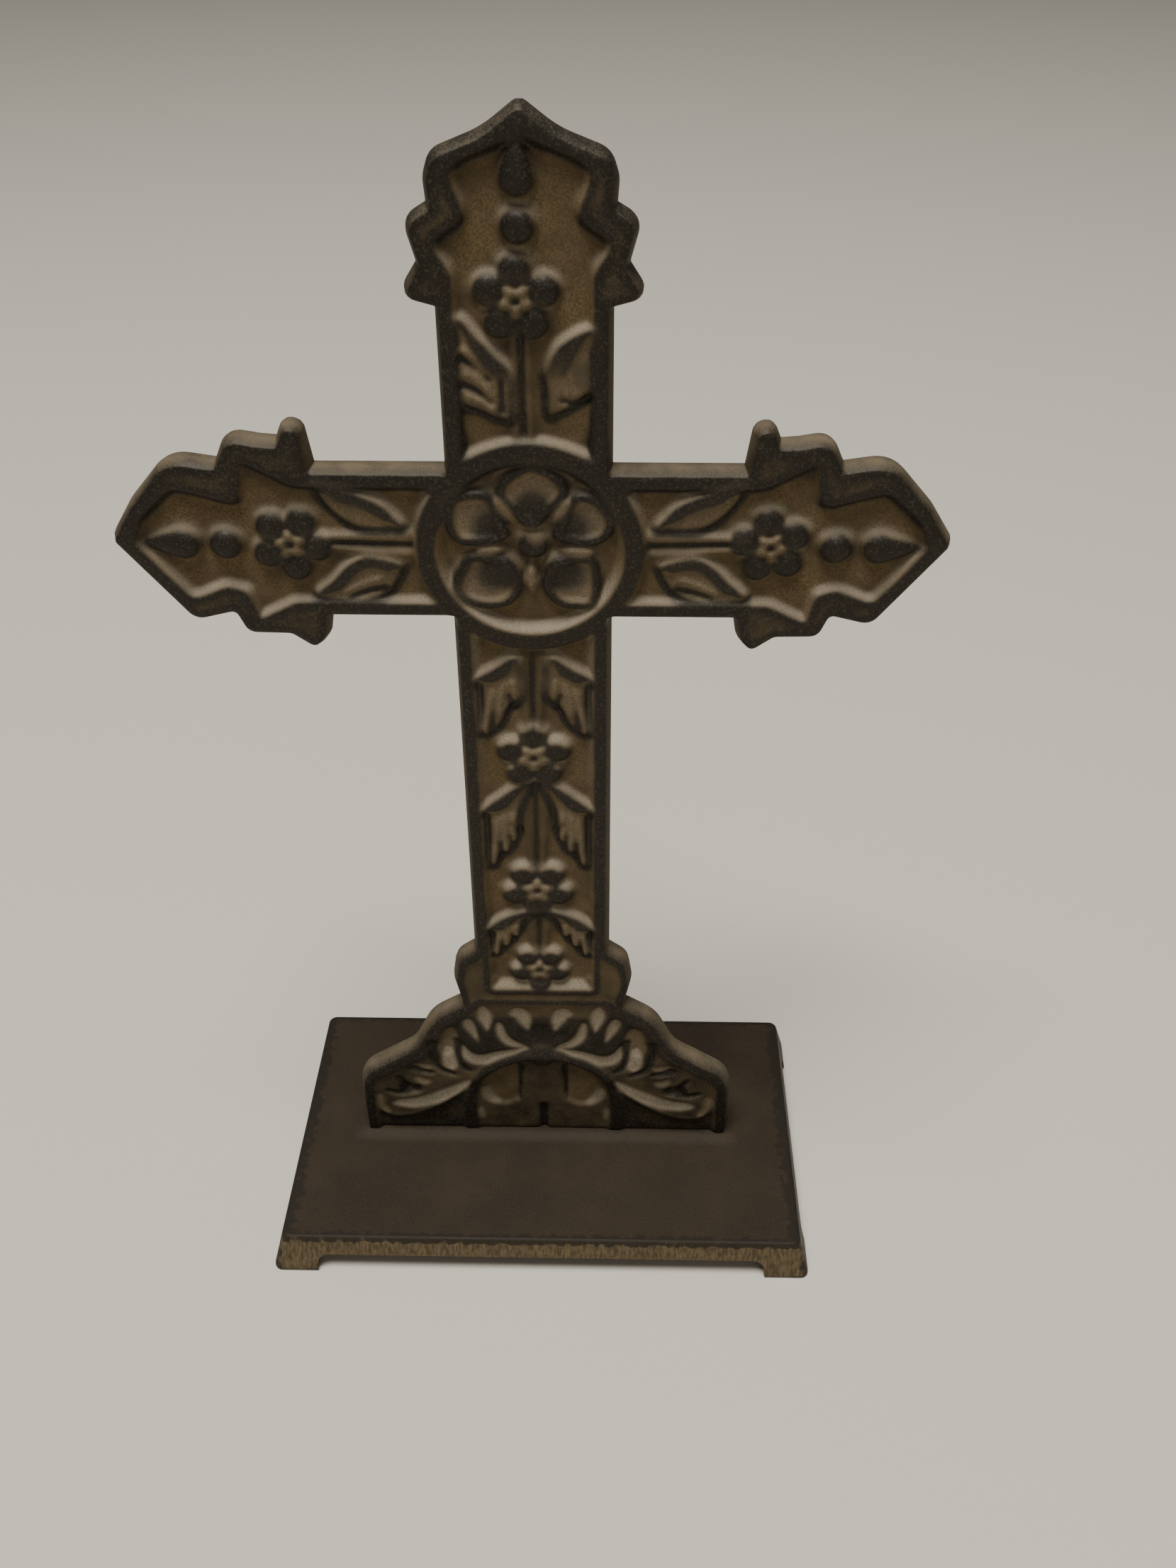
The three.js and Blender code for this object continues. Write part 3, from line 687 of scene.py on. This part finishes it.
hollow(0, 50.2, 0, 14, 9, 0.6, 0.95)
hollow(26.2, 47.6, 100, 13, 6.4, 1.0, 0.1)
hollow(38.4, 28.6, 0, 6, 3.6, 0.8, 1.0)
chisel([(3.7, 51.8), (4.4, 55.8), (5.8, 58.4), (8.6, 59.2)], 2.5, 0.9, 1.5, 1.1, 0.9)
chisel([(14.9, 51.6), (15.3, 56), (16.2, 61)], 2.4, 0.9, 1.5, 1.5, 0.9)
chisel([(17.6, 47.6), (19.4, 52.6), (21.8, 57.6)], 1.8, 0.8, 1.2, 1.4, 0.9)
chisel([(11.8, 55), (10.9, 50.2), (8.4, 47.2), (4, 45.4)], 1.6, 0.7, 1.3, 0.8)
chisel([(3, 45.4), (11, 42.8), (17, 40.4), (20.8, 42), (22.2, 46)], 2.1, 0.7, 1.5, 1.3, 0.7)
chisel([(25.2, 44), (26.6, 53)], 2.8, 0.2, 0.3)
chisel([(25.6, 36.4), (26, 40.4), (26.4, 45)], 2.5, 0.7, 1.5)
chisel([(31.4, 37.6), (34, 37.4), (36.8, 38.2)], 1.3, 0.5, 0.6)
chisel([(31.6, 31.8), (34, 31.6), (36, 33.2)], 1.3, 0.5, 0.6)
chisel([(19.4, 32), (24, 28.6), (29.6, 25.4), (36, 22.8), (42.6, 22.4)], 2.5, 0.5, 1.5, 1.0, 0.3)
chisel([(44.6, 18.6), (47.6, 22), (46.8, 26.4)], 2.2, 0.3, 0.3)
for points, half in (
        ([(23.4, 46.8), (23.4, 43), (23.2, 38.4), (20.6, 36)], 1.3),
        ([(30.4, 46.4), (30.6, 41), (29, 36.6), (25, 34.4)], 1.3),
        ([(36.4, 36.4), (34, 35.4), (31, 35)], 1.0),
        ([(36, 28.2), (38.6, 29.4), (40.8, 32.6)], 1.5),
        ([(37, 27.6), (41, 26.4), (44.4, 27.6)], 1.2),
        ([(6.2, 37), (6.5, 30), (6.8, 23.6)], 0.8)):
    notch(points, half, foot_x)

near, gap, _, share = trace(ROLL, 4, foot_x)
roll = (1 - ease((gap / (2.1 + 0.6 * ease(2.5 * share - 1.4)) - 0.5) / 0.6)) * in_foot[near]
height[near] += 0.7 * roll
dark[near] = np.maximum(dark[near], roll)
pale[near] *= 1 - roll
inside_roll = (over_scroll < -1.4) & (foot_x < 18)
pocket = np.hypot((foot_x - 11.2) / 5.4, np.maximum(27 - face_z, 0) / 6)
pocket = (1 - ease((pocket - 0.75) / 0.3)) * inside_roll * in_foot
height -= 0.9 * pocket
dark -= 0.4 * pocket
chisel([(16.9, 28.4), (15.6, 24.6), (12.4, 22)], 1.9, 0.3, 0.8)
chisel([(18.2, 20.4), (17.8, 15.6)], 1.0, 0.2, 0.6)
slot = (1 - ease((foot_x - 0.7) / 0.7)) * (1 - ease((face_z - 21) / 1.5)) * in_foot
height -= 1.0 * slot
dark = np.maximum(dark, slot)
bead(FOOT_MIDDLE, 41.6, 4.0, 2.6, FOOT_GROUND)

# Cross: casting the sheet into a solid
# The face takes its heights; then the edge is drawn back over drafted sides to a fine parting fin
# and on to the plain flat back, and everything is set upright on the base plate.
TERMINAL = 36
UNEVENNESS = 0.12
PAINTED_SIDE = 0.75
BARE_SIDE = 0.35
WALL = [(0.3, -0.4), (1.2, -3.0), (1.42, -4.55), (1.26, -4.75), (1.2, -5.75), (0.95, -6.0)]
edge_ends = np.array([[vert.index for vert in edge.verts] for edge in sheet.edges])
neighbours = 1 + np.bincount(edge_ends.ravel(), minlength=len(height))


def spread(values, rounds):
    """Values evened out over neighbouring points of the face."""
    for _ in range(rounds):
        from_start = np.bincount(edge_ends[:, 1], values[edge_ends[:, 0]], len(values))
        from_end = np.bincount(edge_ends[:, 0], values[edge_ends[:, 1]], len(values))
        values = (values + from_start + from_end) / neighbours
    return values


height = spread(height, 1)
crevice = spread(height, 24) - height
dark = spread(dark, 1)
pale = spread(pale, 2) * (1 - 0.85 * np.clip(dark, 0, 1))
# Painted shade: points that lie lower than their surroundings, in crevices and at the feet of raised parts,
# are darkened.
dark += 0.4 * ease((crevice - 0.15) / 0.7) * (1 - pale)
for vert, level, darkness, dust_and_highlight in zip(sheet.verts, height, dark, pale):
    wave = noise.noise(Vector((vert.co.x, vert.co.y, 0)) * 0.25)
    vert.co.z = level + UNEVENNESS * wave
    vert[dark_and_shade_layer] = darkness
    vert[dust_and_highlight_layer] = dust_and_highlight
edge_loop = [edge for edge in sheet.edges if edge.is_boundary]
for outward, level in WALL:
    drawn = bmesh.ops.extrude_edge_only(sheet, edges=edge_loop)["geom"]
    edge_loop = [part for part in drawn if isinstance(part, bmesh.types.BMEdge)]
    for vert in (part for part in drawn if isinstance(part, bmesh.types.BMVert)):
        behind = min(level, vert.co.z - 0.05)
        vert.co = vert[base_layer] + vert[outward_layer] * outward
        vert.co.y = max(vert.co.y, SEAT)
        vert.co.z = behind
        in_terminal = vert.co.y > APEX - TERMINAL
        vert[dark_and_shade_layer] = PAINTED_SIDE if in_terminal or level > -1 else BARE_SIDE
        vert[dust_and_highlight_layer] = 0
bmesh.ops.triangle_fill(sheet, use_beauty=True, use_dissolve=False, edges=edge_loop)
for name in ("edge_base", "edge_outward"):
    sheet.verts.layers.float_vector.remove(sheet.verts.layers.float_vector[name])
upright = (
    Matrix.Translation((0, FRONT_Y * MM, 0)) @ Matrix.Rotation(math.pi / 2, 4, "X") @ Matrix.Scale(MM, 4))
bmesh.ops.transform(sheet, matrix=upright, verts=sheet.verts)
bmesh.ops.recalc_face_normals(sheet, faces=sheet.faces)
for face in sheet.faces:
    face.smooth = True
cross_mesh = bpy.data.meshes.new("cross_casting")
sheet.to_mesh(cross_mesh)
sheet.free()
cross_casting = bpy.data.objects.new("cross_casting", cross_mesh)
bpy.context.scene.collection.objects.link(cross_casting)


# Cross: finish
# Dark brown-black paint stays on the high places, deepened by painted shade under rims, in cuts and in
# crevices; the sunk ground is a sandy tan, and dust with a painted highlight lies on the slopes that face
# up.
SAND_DARK = (0.072, 0.050, 0.024)
SAND_LIGHT = (0.128, 0.090, 0.045)
SAND_CLOUD = (0.055, 0.040, 0.022)
PAINT_BLACK = (0.0082, 0.0070, 0.0050)
# Light specks in the black: painted glints, with specks of the coat.
GLINT_SPECK = (0.062, 0.056, 0.042)
# Pale grey-tan of dust and of painted highlight.
DUST_AND_HIGHLIGHT = (0.255, 0.213, 0.153)
IRON_TINT = (1, 0.89, 0.73, 1)
IRON_SHINE = 0.3


def node(tree, kind, place, **values):
    """New node of a kind, with its inputs set by name."""
    made = tree.nodes.new(kind)
    made.location = place
    for name, value in values.items():
        made.inputs[name.replace("_", " ")].default_value = value
    return made


def blend_colours(tree, factor, first, second, place):
    """Colour between two others, each a colour or an output socket."""
    mix = tree.nodes.new("ShaderNodeMix")
    mix.data_type = "RGBA"
    mix.location = place
    tree.links.new(factor, mix.inputs[0])
    for socket, colour in ((mix.inputs[6], first), (mix.inputs[7], second)):
        if isinstance(colour, tuple):
            socket.default_value = (*colour, 1)
        else:
            tree.links.new(colour, socket)
    return mix.outputs[2]


def remapped(tree, value, low_in, high_in, low_out, high_out, place):
    """Value carried from one range to another, clamped."""
    ramp = tree.nodes.new("ShaderNodeMapRange")
    ramp.location = place
    ramp.inputs[1].default_value = low_in
    ramp.inputs[2].default_value = high_in
    ramp.inputs[3].default_value = low_out
    ramp.inputs[4].default_value = high_out
    tree.links.new(value, ramp.inputs[0])
    return ramp.outputs[0]


def calculated(tree, operation, first, second, place):
    """Result of one operation on two values, each a number or an output socket."""
    step = tree.nodes.new("ShaderNodeMath")
    step.operation = operation
    step.location = place
    for socket, value in ((step.inputs[0], first), (step.inputs[1], second)):
        if isinstance(value, (int, float)):
            socket.default_value = value
        else:
            tree.links.new(value, socket)
    return step.outputs[0]


def grain_of(tree, coordinates, scale, detail, place):
    """Noise of a given scale, per metre."""
    grain = node(tree, "ShaderNodeTexNoise", place, Scale=scale, Detail=detail)
    tree.links.new(coordinates, grain.inputs["Vector"])
    return grain.outputs["Fac"]


cross_finish = bpy.data.materials.new("cross_iron_finish")
cross_finish.use_nodes = True
tree = cross_finish.node_tree
shader = tree.nodes["Principled BSDF"]
shader.inputs["Specular IOR Level"].default_value = IRON_SHINE
shader.inputs["Specular Tint"].default_value = IRON_TINT
place = node(tree, "ShaderNodeTexCoord", (-1800, 0)).outputs["Object"]
# Darkness of the face: dark paint and painted shade.
darkness = node(tree, "ShaderNodeAttribute", (-1800, 400))
darkness.attribute_name = "dark_paint_and_shade"
# Paleness of the face: dust and painted highlight.
dust_and_highlight_attribute = node(tree, "ShaderNodeAttribute", (-1800, 600))
dust_and_highlight_attribute.attribute_name = "pale_dust_and_highlight"
sand = grain_of(tree, place, 2400, 3, (-1500, -300))
cloud = grain_of(tree, place, 160, 4, (-1500, 0))
glint_speck_grain = grain_of(tree, place, 1700, 3, (-1500, -600))
tan = blend_colours(
    tree, remapped(tree, sand, 0.35, 0.65, 0, 1, (-1250, -300)),
    SAND_DARK, SAND_LIGHT, (-1000, -200))
tan = blend_colours(
    tree, remapped(tree, cloud, 0.4, 0.7, 0, 0.5, (-1250, 0)), tan, SAND_CLOUD, (-800, -100))
# Painted glints: light specks scattered in the black.
black = blend_colours(
    tree, remapped(tree, glint_speck_grain, 0.52, 0.72, 0, 0.5, (-1250, -600)),
    PAINT_BLACK, GLINT_SPECK, (-1000, -500))
# The darkness, dark paint with painted shade, is broken into patches by grain and cloud.
patchy_darkness = calculated(
    tree, "ADD", darkness.outputs["Fac"], remapped(tree, sand, 0.3, 0.7, -0.18, 0.18, (-1250, 300)),
    (-1000, 300))
patchy_darkness = calculated(
    tree, "ADD", patchy_darkness, remapped(tree, cloud, 0.3, 0.7, -0.15, 0.15, (-1250, 150)), (-900, 200))
cover = remapped(tree, patchy_darkness, 0.12, 0.85, 0, 1, (-800, 300))
colour = blend_colours(tree, cover, tan, black, (-500, 0))
facing = node(tree, "ShaderNodeNewGeometry", (-1500, 700))
split = node(tree, "ShaderNodeSeparateXYZ", (-1250, 700))
tree.links.new(facing.outputs["Normal"], split.inputs[0])
# Dust and painted highlight: faces that look up are made paler, less where the coat is dark, and the pale
# marks of the face are added in grains.
dust_and_highlight = calculated(
    tree, "MULTIPLY", remapped(tree, split.outputs["Z"], 0.2, 0.75, 0, 0.3, (-1000, 700)),
    remapped(tree, cover, 0, 1, 1, 0.1, (-800, 600)), (-600, 700))
grainy_dust_and_highlight = calculated(
    tree, "MULTIPLY", dust_and_highlight_attribute.outputs["Fac"], remapped(tree, sand, 0.3, 0.7, 0.3, 0.75, (-1250, 900)),
    (-1000, 900))
dust_and_highlight = calculated(tree, "ADD", dust_and_highlight, grainy_dust_and_highlight, (-450, 700))
colour = blend_colours(tree, dust_and_highlight, colour, DUST_AND_HIGHLIGHT, (-300, 100))
tree.links.new(colour, shader.inputs["Base Color"])
tree.links.new(remapped(tree, cover, 0, 1, 0.9, 0.5, (-300, -200)), shader.inputs["Roughness"])
bump = node(tree, "ShaderNodeBump", (-300, -450), Strength=0.4, Distance=0.0002)
tree.links.new(sand, bump.inputs["Height"])
tree.links.new(bump.outputs["Normal"], shader.inputs["Normal"])
cross_mesh.materials.append(cross_finish)
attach(cross_casting, "root")
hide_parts("cross")

# Base plate
# A separate low casting: a flared rectangular plate with softened edges on four corner feet, arched
# out between them. Its top is dark brown with black lips, its edge a band filed to tan; a little dust
# lies where the cross stands on its middle.
base_low, base_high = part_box("base_plate")
BASE_FLARE = 3.0 * MM
FOOT_HEIGHT = 5.7 * MM
FOOT_WIDTH = 12.5 * MM
PLATE_CORNER = 2.2 * MM
TOP_EDGE = 0.6 * MM
SOLE_EDGE = 1.3 * MM
ARCH = 3.0 * MM
SAME_PLACE = 1e-6
CORNER_REACH = 4 * MM
UPRIGHT_LENGTH = 2 * MM
TOP_DARK = (0.0195, 0.0134, 0.0080)
TOP_LIGHT = (0.029, 0.0198, 0.0116)
TOP_GRAIN = (0.050, 0.036, 0.022)
SEAT_DUST = (0.075, 0.062, 0.047)
BAND_DARK = (0.050, 0.036, 0.018)
BAND_LIGHT = (0.118, 0.085, 0.044)
EDGE_BLACK = (0.011, 0.0092, 0.0066)
SEAT_LINE = 5.5 * MM
SEAT_DUST_FROM = 0.8 * MM
SEAT_DUST_TO = 3.2 * MM
SIDE_LIP_WIDTHS = (4.4 * MM, 1.8 * MM)
FRONT_LIP_WIDTHS = (2.4 * MM, 0.8 * MM)
BAND_LIP_WIDTHS = (2.2 * MM, 1.0 * MM)
BAND_END_WIDTHS = (3.4 * MM, 1.6 * MM)
plate = bmesh.new()
plate_size = base_high - base_low
block = Matrix.Translation((0, 0, (FOOT_HEIGHT + base_high.z) / 2)) @ Matrix.Diagonal(
    (plate_size.x, plate_size.y, base_high.z - FOOT_HEIGHT, 1))
bmesh.ops.create_cube(plate, size=1, matrix=block)
for axis, half in ((0, plate_size.x / 2 - FOOT_WIDTH), (1, plate_size.y / 2 - FOOT_WIDTH)):
    for sign in (1, -1):
        cut = Vector((0, 0, 0))
        cut[axis] = sign * half
        across = Vector((0, 0, 0))
        across[axis] = 1
        bmesh.ops.bisect_plane(
            plate, geom=plate.verts[:] + plate.edges[:] + plate.faces[:], plane_co=cut, plane_no=across)
plate.normal_update()
feet = [
    face for face in plate.faces if face.normal.z < -0.5
    and abs(face.calc_center_median().x) > plate_size.x / 2 - FOOT_WIDTH
    and abs(face.calc_center_median().y) > plate_size.y / 2 - FOOT_WIDTH]
for foot in feet:
    drawn = bmesh.ops.extrude_face_region(plate, geom=[foot])["geom"]
    lowered = [part for part in drawn if isinstance(part, bmesh.types.BMVert)]
    bmesh.ops.translate(plate, verts=lowered, vec=(0, 0, -FOOT_HEIGHT))
bmesh.ops.delete(plate, geom=feet, context="FACES_ONLY")
for vert in plate.verts:
    inset = BASE_FLARE * vert.co.z / base_high.z
    outer_x = abs(abs(vert.co.x) - plate_size.x / 2) < SAME_PLACE
    outer_y = abs(abs(vert.co.y) - plate_size.y / 2) < SAME_PLACE
    vert.co.x -= math.copysign(inset, vert.co.x) * outer_x
    vert.co.y -= math.copysign(inset, vert.co.y) * outer_y
arches = [
    edge for edge in plate.edges if edge.is_manifold and not edge.is_convex
    and all(abs(vert.co.z - FOOT_HEIGHT) < SAME_PLACE for vert in edge.verts)
    and edge.calc_face_angle(0) > 0.5]
bmesh.ops.bevel(
    plate, geom=arches, offset=ARCH, segments=4, profile=0.5, affect="EDGES", material=-1)
uprights = [
    edge for edge in plate.edges if edge.is_convex and edge.calc_face_angle(0) > 1
    and abs(edge.verts[0].co.z - edge.verts[1].co.z) > UPRIGHT_LENGTH
    and all(abs(vert.co.x) > plate_size.x / 2 - CORNER_REACH for vert in edge.verts)
    and all(abs(vert.co.y) > plate_size.y / 2 - CORNER_REACH for vert in edge.verts)]
bmesh.ops.bevel(
    plate, geom=uprights, offset=PLATE_CORNER, segments=5, profile=0.5, affect="EDGES", material=-1)
rims = [
    edge for edge in plate.edges if edge.is_convex and edge.calc_face_angle(0) > 0.9
    and all(abs(vert.co.z - base_high.z) < SAME_PLACE for vert in edge.verts)]
bmesh.ops.bevel(
    plate, geom=rims, offset=TOP_EDGE, segments=3, profile=0.5, affect="EDGES", material=-1)
soles = [
    edge for edge in plate.edges if edge.is_convex and edge.calc_face_angle(0) > 0.9
    and all(abs(vert.co.z) < SAME_PLACE for vert in edge.verts)]
bmesh.ops.bevel(
    plate, geom=soles, offset=SOLE_EDGE, segments=3, profile=0.5, affect="EDGES", material=-1)
bmesh.ops.recalc_face_normals(plate, faces=plate.faces)
plate_mesh = bpy.data.meshes.new("base_casting")
plate.to_mesh(plate_mesh)
plate.free()
base_casting = bpy.data.objects.new("base_casting", plate_mesh)
bpy.context.scene.collection.objects.link(base_casting)


def ramp_to_edge(distance, edge, widths, place):
    """Value that rises from 0 to 1 between two distances from an edge of the plate."""
    return remapped(tree, distance, edge - widths[0], edge - widths[1], 0, 1, place)


base_finish = bpy.data.materials.new("base_iron_finish")
base_finish.use_nodes = True
tree = base_finish.node_tree
shader = tree.nodes["Principled BSDF"]
shader.inputs["Specular IOR Level"].default_value = IRON_SHINE
shader.inputs["Specular Tint"].default_value = IRON_TINT
shader.inputs["Roughness"].default_value = 0.6
place = node(tree, "ShaderNodeTexCoord", (-1800, 0)).outputs["Object"]
sand = grain_of(tree, place, 2200, 3, (-1500, -300))
cloud = grain_of(tree, place, 60, 4, (-1500, 0))
flake = grain_of(tree, place, 420, 4, (-1500, -600))
upright_grain = node(tree, "ShaderNodeMapping", (-1750, -800), Scale=(1, 1, 0.1))
tree.links.new(place, upright_grain.inputs["Vector"])
filed = grain_of(tree, upright_grain.outputs["Vector"], 1500, 2, (-1500, -800))
where = node(tree, "ShaderNodeSeparateXYZ", (-1600, 400))
tree.links.new(place, where.inputs[0])
off_x = calculated(tree, "ABSOLUTE", where.outputs["X"], 0, (-1400, 500))
off_y = calculated(tree, "ABSOLUTE", where.outputs["Y"], 0, (-1400, 400))
ragged = remapped(tree, flake, 0.35, 0.65, -0.45, 0.45, (-1250, -600))
top_brown = blend_colours(
    tree, remapped(tree, cloud, 0.35, 0.7, 0, 1, (-1250, 0)),
    TOP_DARK, TOP_LIGHT, (-1000, 0))
top_brown = blend_colours(
    tree, remapped(tree, sand, 0.5, 0.72, 0, 0.55, (-1250, -300)), top_brown, TOP_GRAIN, (-900, 0))
seat_gap = calculated(tree, "ADD", where.outputs["Y"], SEAT_LINE, (-1250, 300))
seat_gap = calculated(tree, "ABSOLUTE", seat_gap, 0, (-1150, 300))
seat_dust = calculated(
    tree, "MULTIPLY", remapped(tree, seat_gap, SEAT_DUST_FROM, SEAT_DUST_TO, 0.28, 0, (-1050, 300)),
    remapped(tree, off_x, FOOT_HALF * MM, (FOOT_HALF + 5) * MM, 1, 0, (-1050, 450)), (-950, 300))
top_brown = blend_colours(tree, seat_dust, top_brown, SEAT_DUST, (-800, 0))
side_lip = ramp_to_edge(off_x, plate_size.x / 2 - BASE_FLARE, SIDE_LIP_WIDTHS, (-1250, 550))
front_lip = ramp_to_edge(off_y, plate_size.y / 2 - BASE_FLARE, FRONT_LIP_WIDTHS, (-1250, 450))
lip = calculated(tree, "MAXIMUM", side_lip, front_lip, (-1050, 600))
lip = calculated(tree, "ADD", lip, ragged, (-900, 600))
top_brown = blend_colours(
    tree, remapped(tree, lip, 0.35, 0.8, 0, 0.85, (-800, 600)), top_brown, EDGE_BLACK, (-700, 0))
band_tan = blend_colours(
    tree, remapped(tree, filed, 0.35, 0.65, 0, 1, (-1250, -800)),
    BAND_DARK, BAND_LIGHT, (-1000, -400))
# The band darkens under the top lip, towards its ends and towards the sole.
under_lip = ramp_to_edge(where.outputs["Z"], base_high.z, BAND_LIP_WIDTHS, (-1250, 900))
corner = ramp_to_edge(off_x, plate_size.x / 2, BAND_END_WIDTHS, (-1250, 1000))
sole = remapped(tree, where.outputs["Z"], 0.3 * MM, 1.2 * MM, 1, 0, (-1250, 1100))
band_darkening = calculated(tree, "MAXIMUM", under_lip, corner, (-1050, 900))
band_darkening = calculated(tree, "MAXIMUM", band_darkening, sole, (-900, 900))
band_darkening = calculated(tree, "ADD", band_darkening, ragged, (-800, 900))
band_tan = blend_colours(
    tree, remapped(tree, band_darkening, 0.3, 0.75, 0, 0.9, (-700, 900)), band_tan, EDGE_BLACK, (-700, -400))
facing = node(tree, "ShaderNodeNewGeometry", (-1500, 700))
split = node(tree, "ShaderNodeSeparateXYZ", (-1250, 700))
tree.links.new(facing.outputs["Normal"], split.inputs[0])
colour = blend_colours(
    tree, remapped(tree, split.outputs["Z"], 0.45, 0.8, 0, 1, (-1000, 600)), band_tan, top_brown, (-500, 0))
tree.links.new(colour, shader.inputs["Base Color"])
bump = node(tree, "ShaderNodeBump", (-300, -450), Strength=0.3, Distance=0.0002)
tree.links.new(sand, bump.inputs["Height"])
tree.links.new(bump.outputs["Normal"], shader.inputs["Normal"])
plate_mesh.materials.append(base_finish)
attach(base_casting, "root")
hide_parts("base_plate")

# Floor, light and camera
# A plain pale floor, a large soft light overhead with a weak fill from the front, and the view of the
# photograph, looking down at the cross.
FLOOR_COLOUR = (0.62, 0.573, 0.485, 1)
AIR_COLOUR = (1, 0.97, 0.92, 1)
PHOTO_HEIGHT = 2212
FOCAL_PIXELS = 2085.3
CAMERA_PLACE = (0.01891, -0.29376, 0.34560)
CAMERA_TURN = 1.269
CAMERA_DIP = 35.818
CAMERA_ROLL = -0.171
floor_sheet = bmesh.new()
bmesh.ops.create_grid(floor_sheet, x_segments=1, y_segments=1, size=6)
floor_mesh = bpy.data.meshes.new("studio_floor")
floor_sheet.to_mesh(floor_mesh)
floor_sheet.free()
floor = bpy.data.objects.new("studio_floor", floor_mesh)
bpy.context.scene.collection.objects.link(floor)
floor_paint = bpy.data.materials.new("pale_floor")
floor_paint.use_nodes = True
floor_shader = floor_paint.node_tree.nodes["Principled BSDF"]
floor_shader.inputs["Base Color"].default_value = FLOOR_COLOUR
floor_shader.inputs["Roughness"].default_value = 0.9
floor_mesh.materials.append(floor_paint)


def soft_light(name, place, target, size, power):
    """Square area light aimed at a point."""
    lamp = bpy.data.lights.new(name, "AREA")
    lamp.size = size
    lamp.energy = power
    lamp_object = bpy.data.objects.new(name, lamp)
    bpy.context.scene.collection.objects.link(lamp_object)
    lamp_object.location = place
    lamp_object.rotation_euler = (Vector(target) - Vector(place)).to_track_quat("-Z", "Y").to_euler()


MIDDLE = (0, 0, 0.15)
soft_light("overhead_light", (-0.25, -0.5, 2.4), MIDDLE, 1.0, 78)
soft_light("front_fill", (0.3, -1.6, 0.8), MIDDLE, 1.2, 3)
world = bpy.data.worlds.new("studio_air")
world.use_nodes = True
air = world.node_tree.nodes["Background"]
air.inputs["Color"].default_value = AIR_COLOUR
air.inputs["Strength"].default_value = 0.14
bpy.context.scene.world = world

camera = bpy.data.cameras.new("photo_view")
camera.sensor_fit = "VERTICAL"
camera.sensor_height = 36
camera.lens = camera.sensor_height * FOCAL_PIXELS / PHOTO_HEIGHT
camera_object = bpy.data.objects.new("photo_view", camera)
bpy.context.scene.collection.objects.link(camera_object)
camera_object.matrix_world = (
    Matrix.Translation(CAMERA_PLACE)
    @ Matrix.Rotation(math.radians(CAMERA_TURN), 4, "Z")
    @ Matrix.Rotation(math.radians(90 - CAMERA_DIP), 4, "X")
    @ Matrix.Rotation(math.radians(CAMERA_ROLL), 4, "Z"))
bpy.context.scene.camera = camera_object
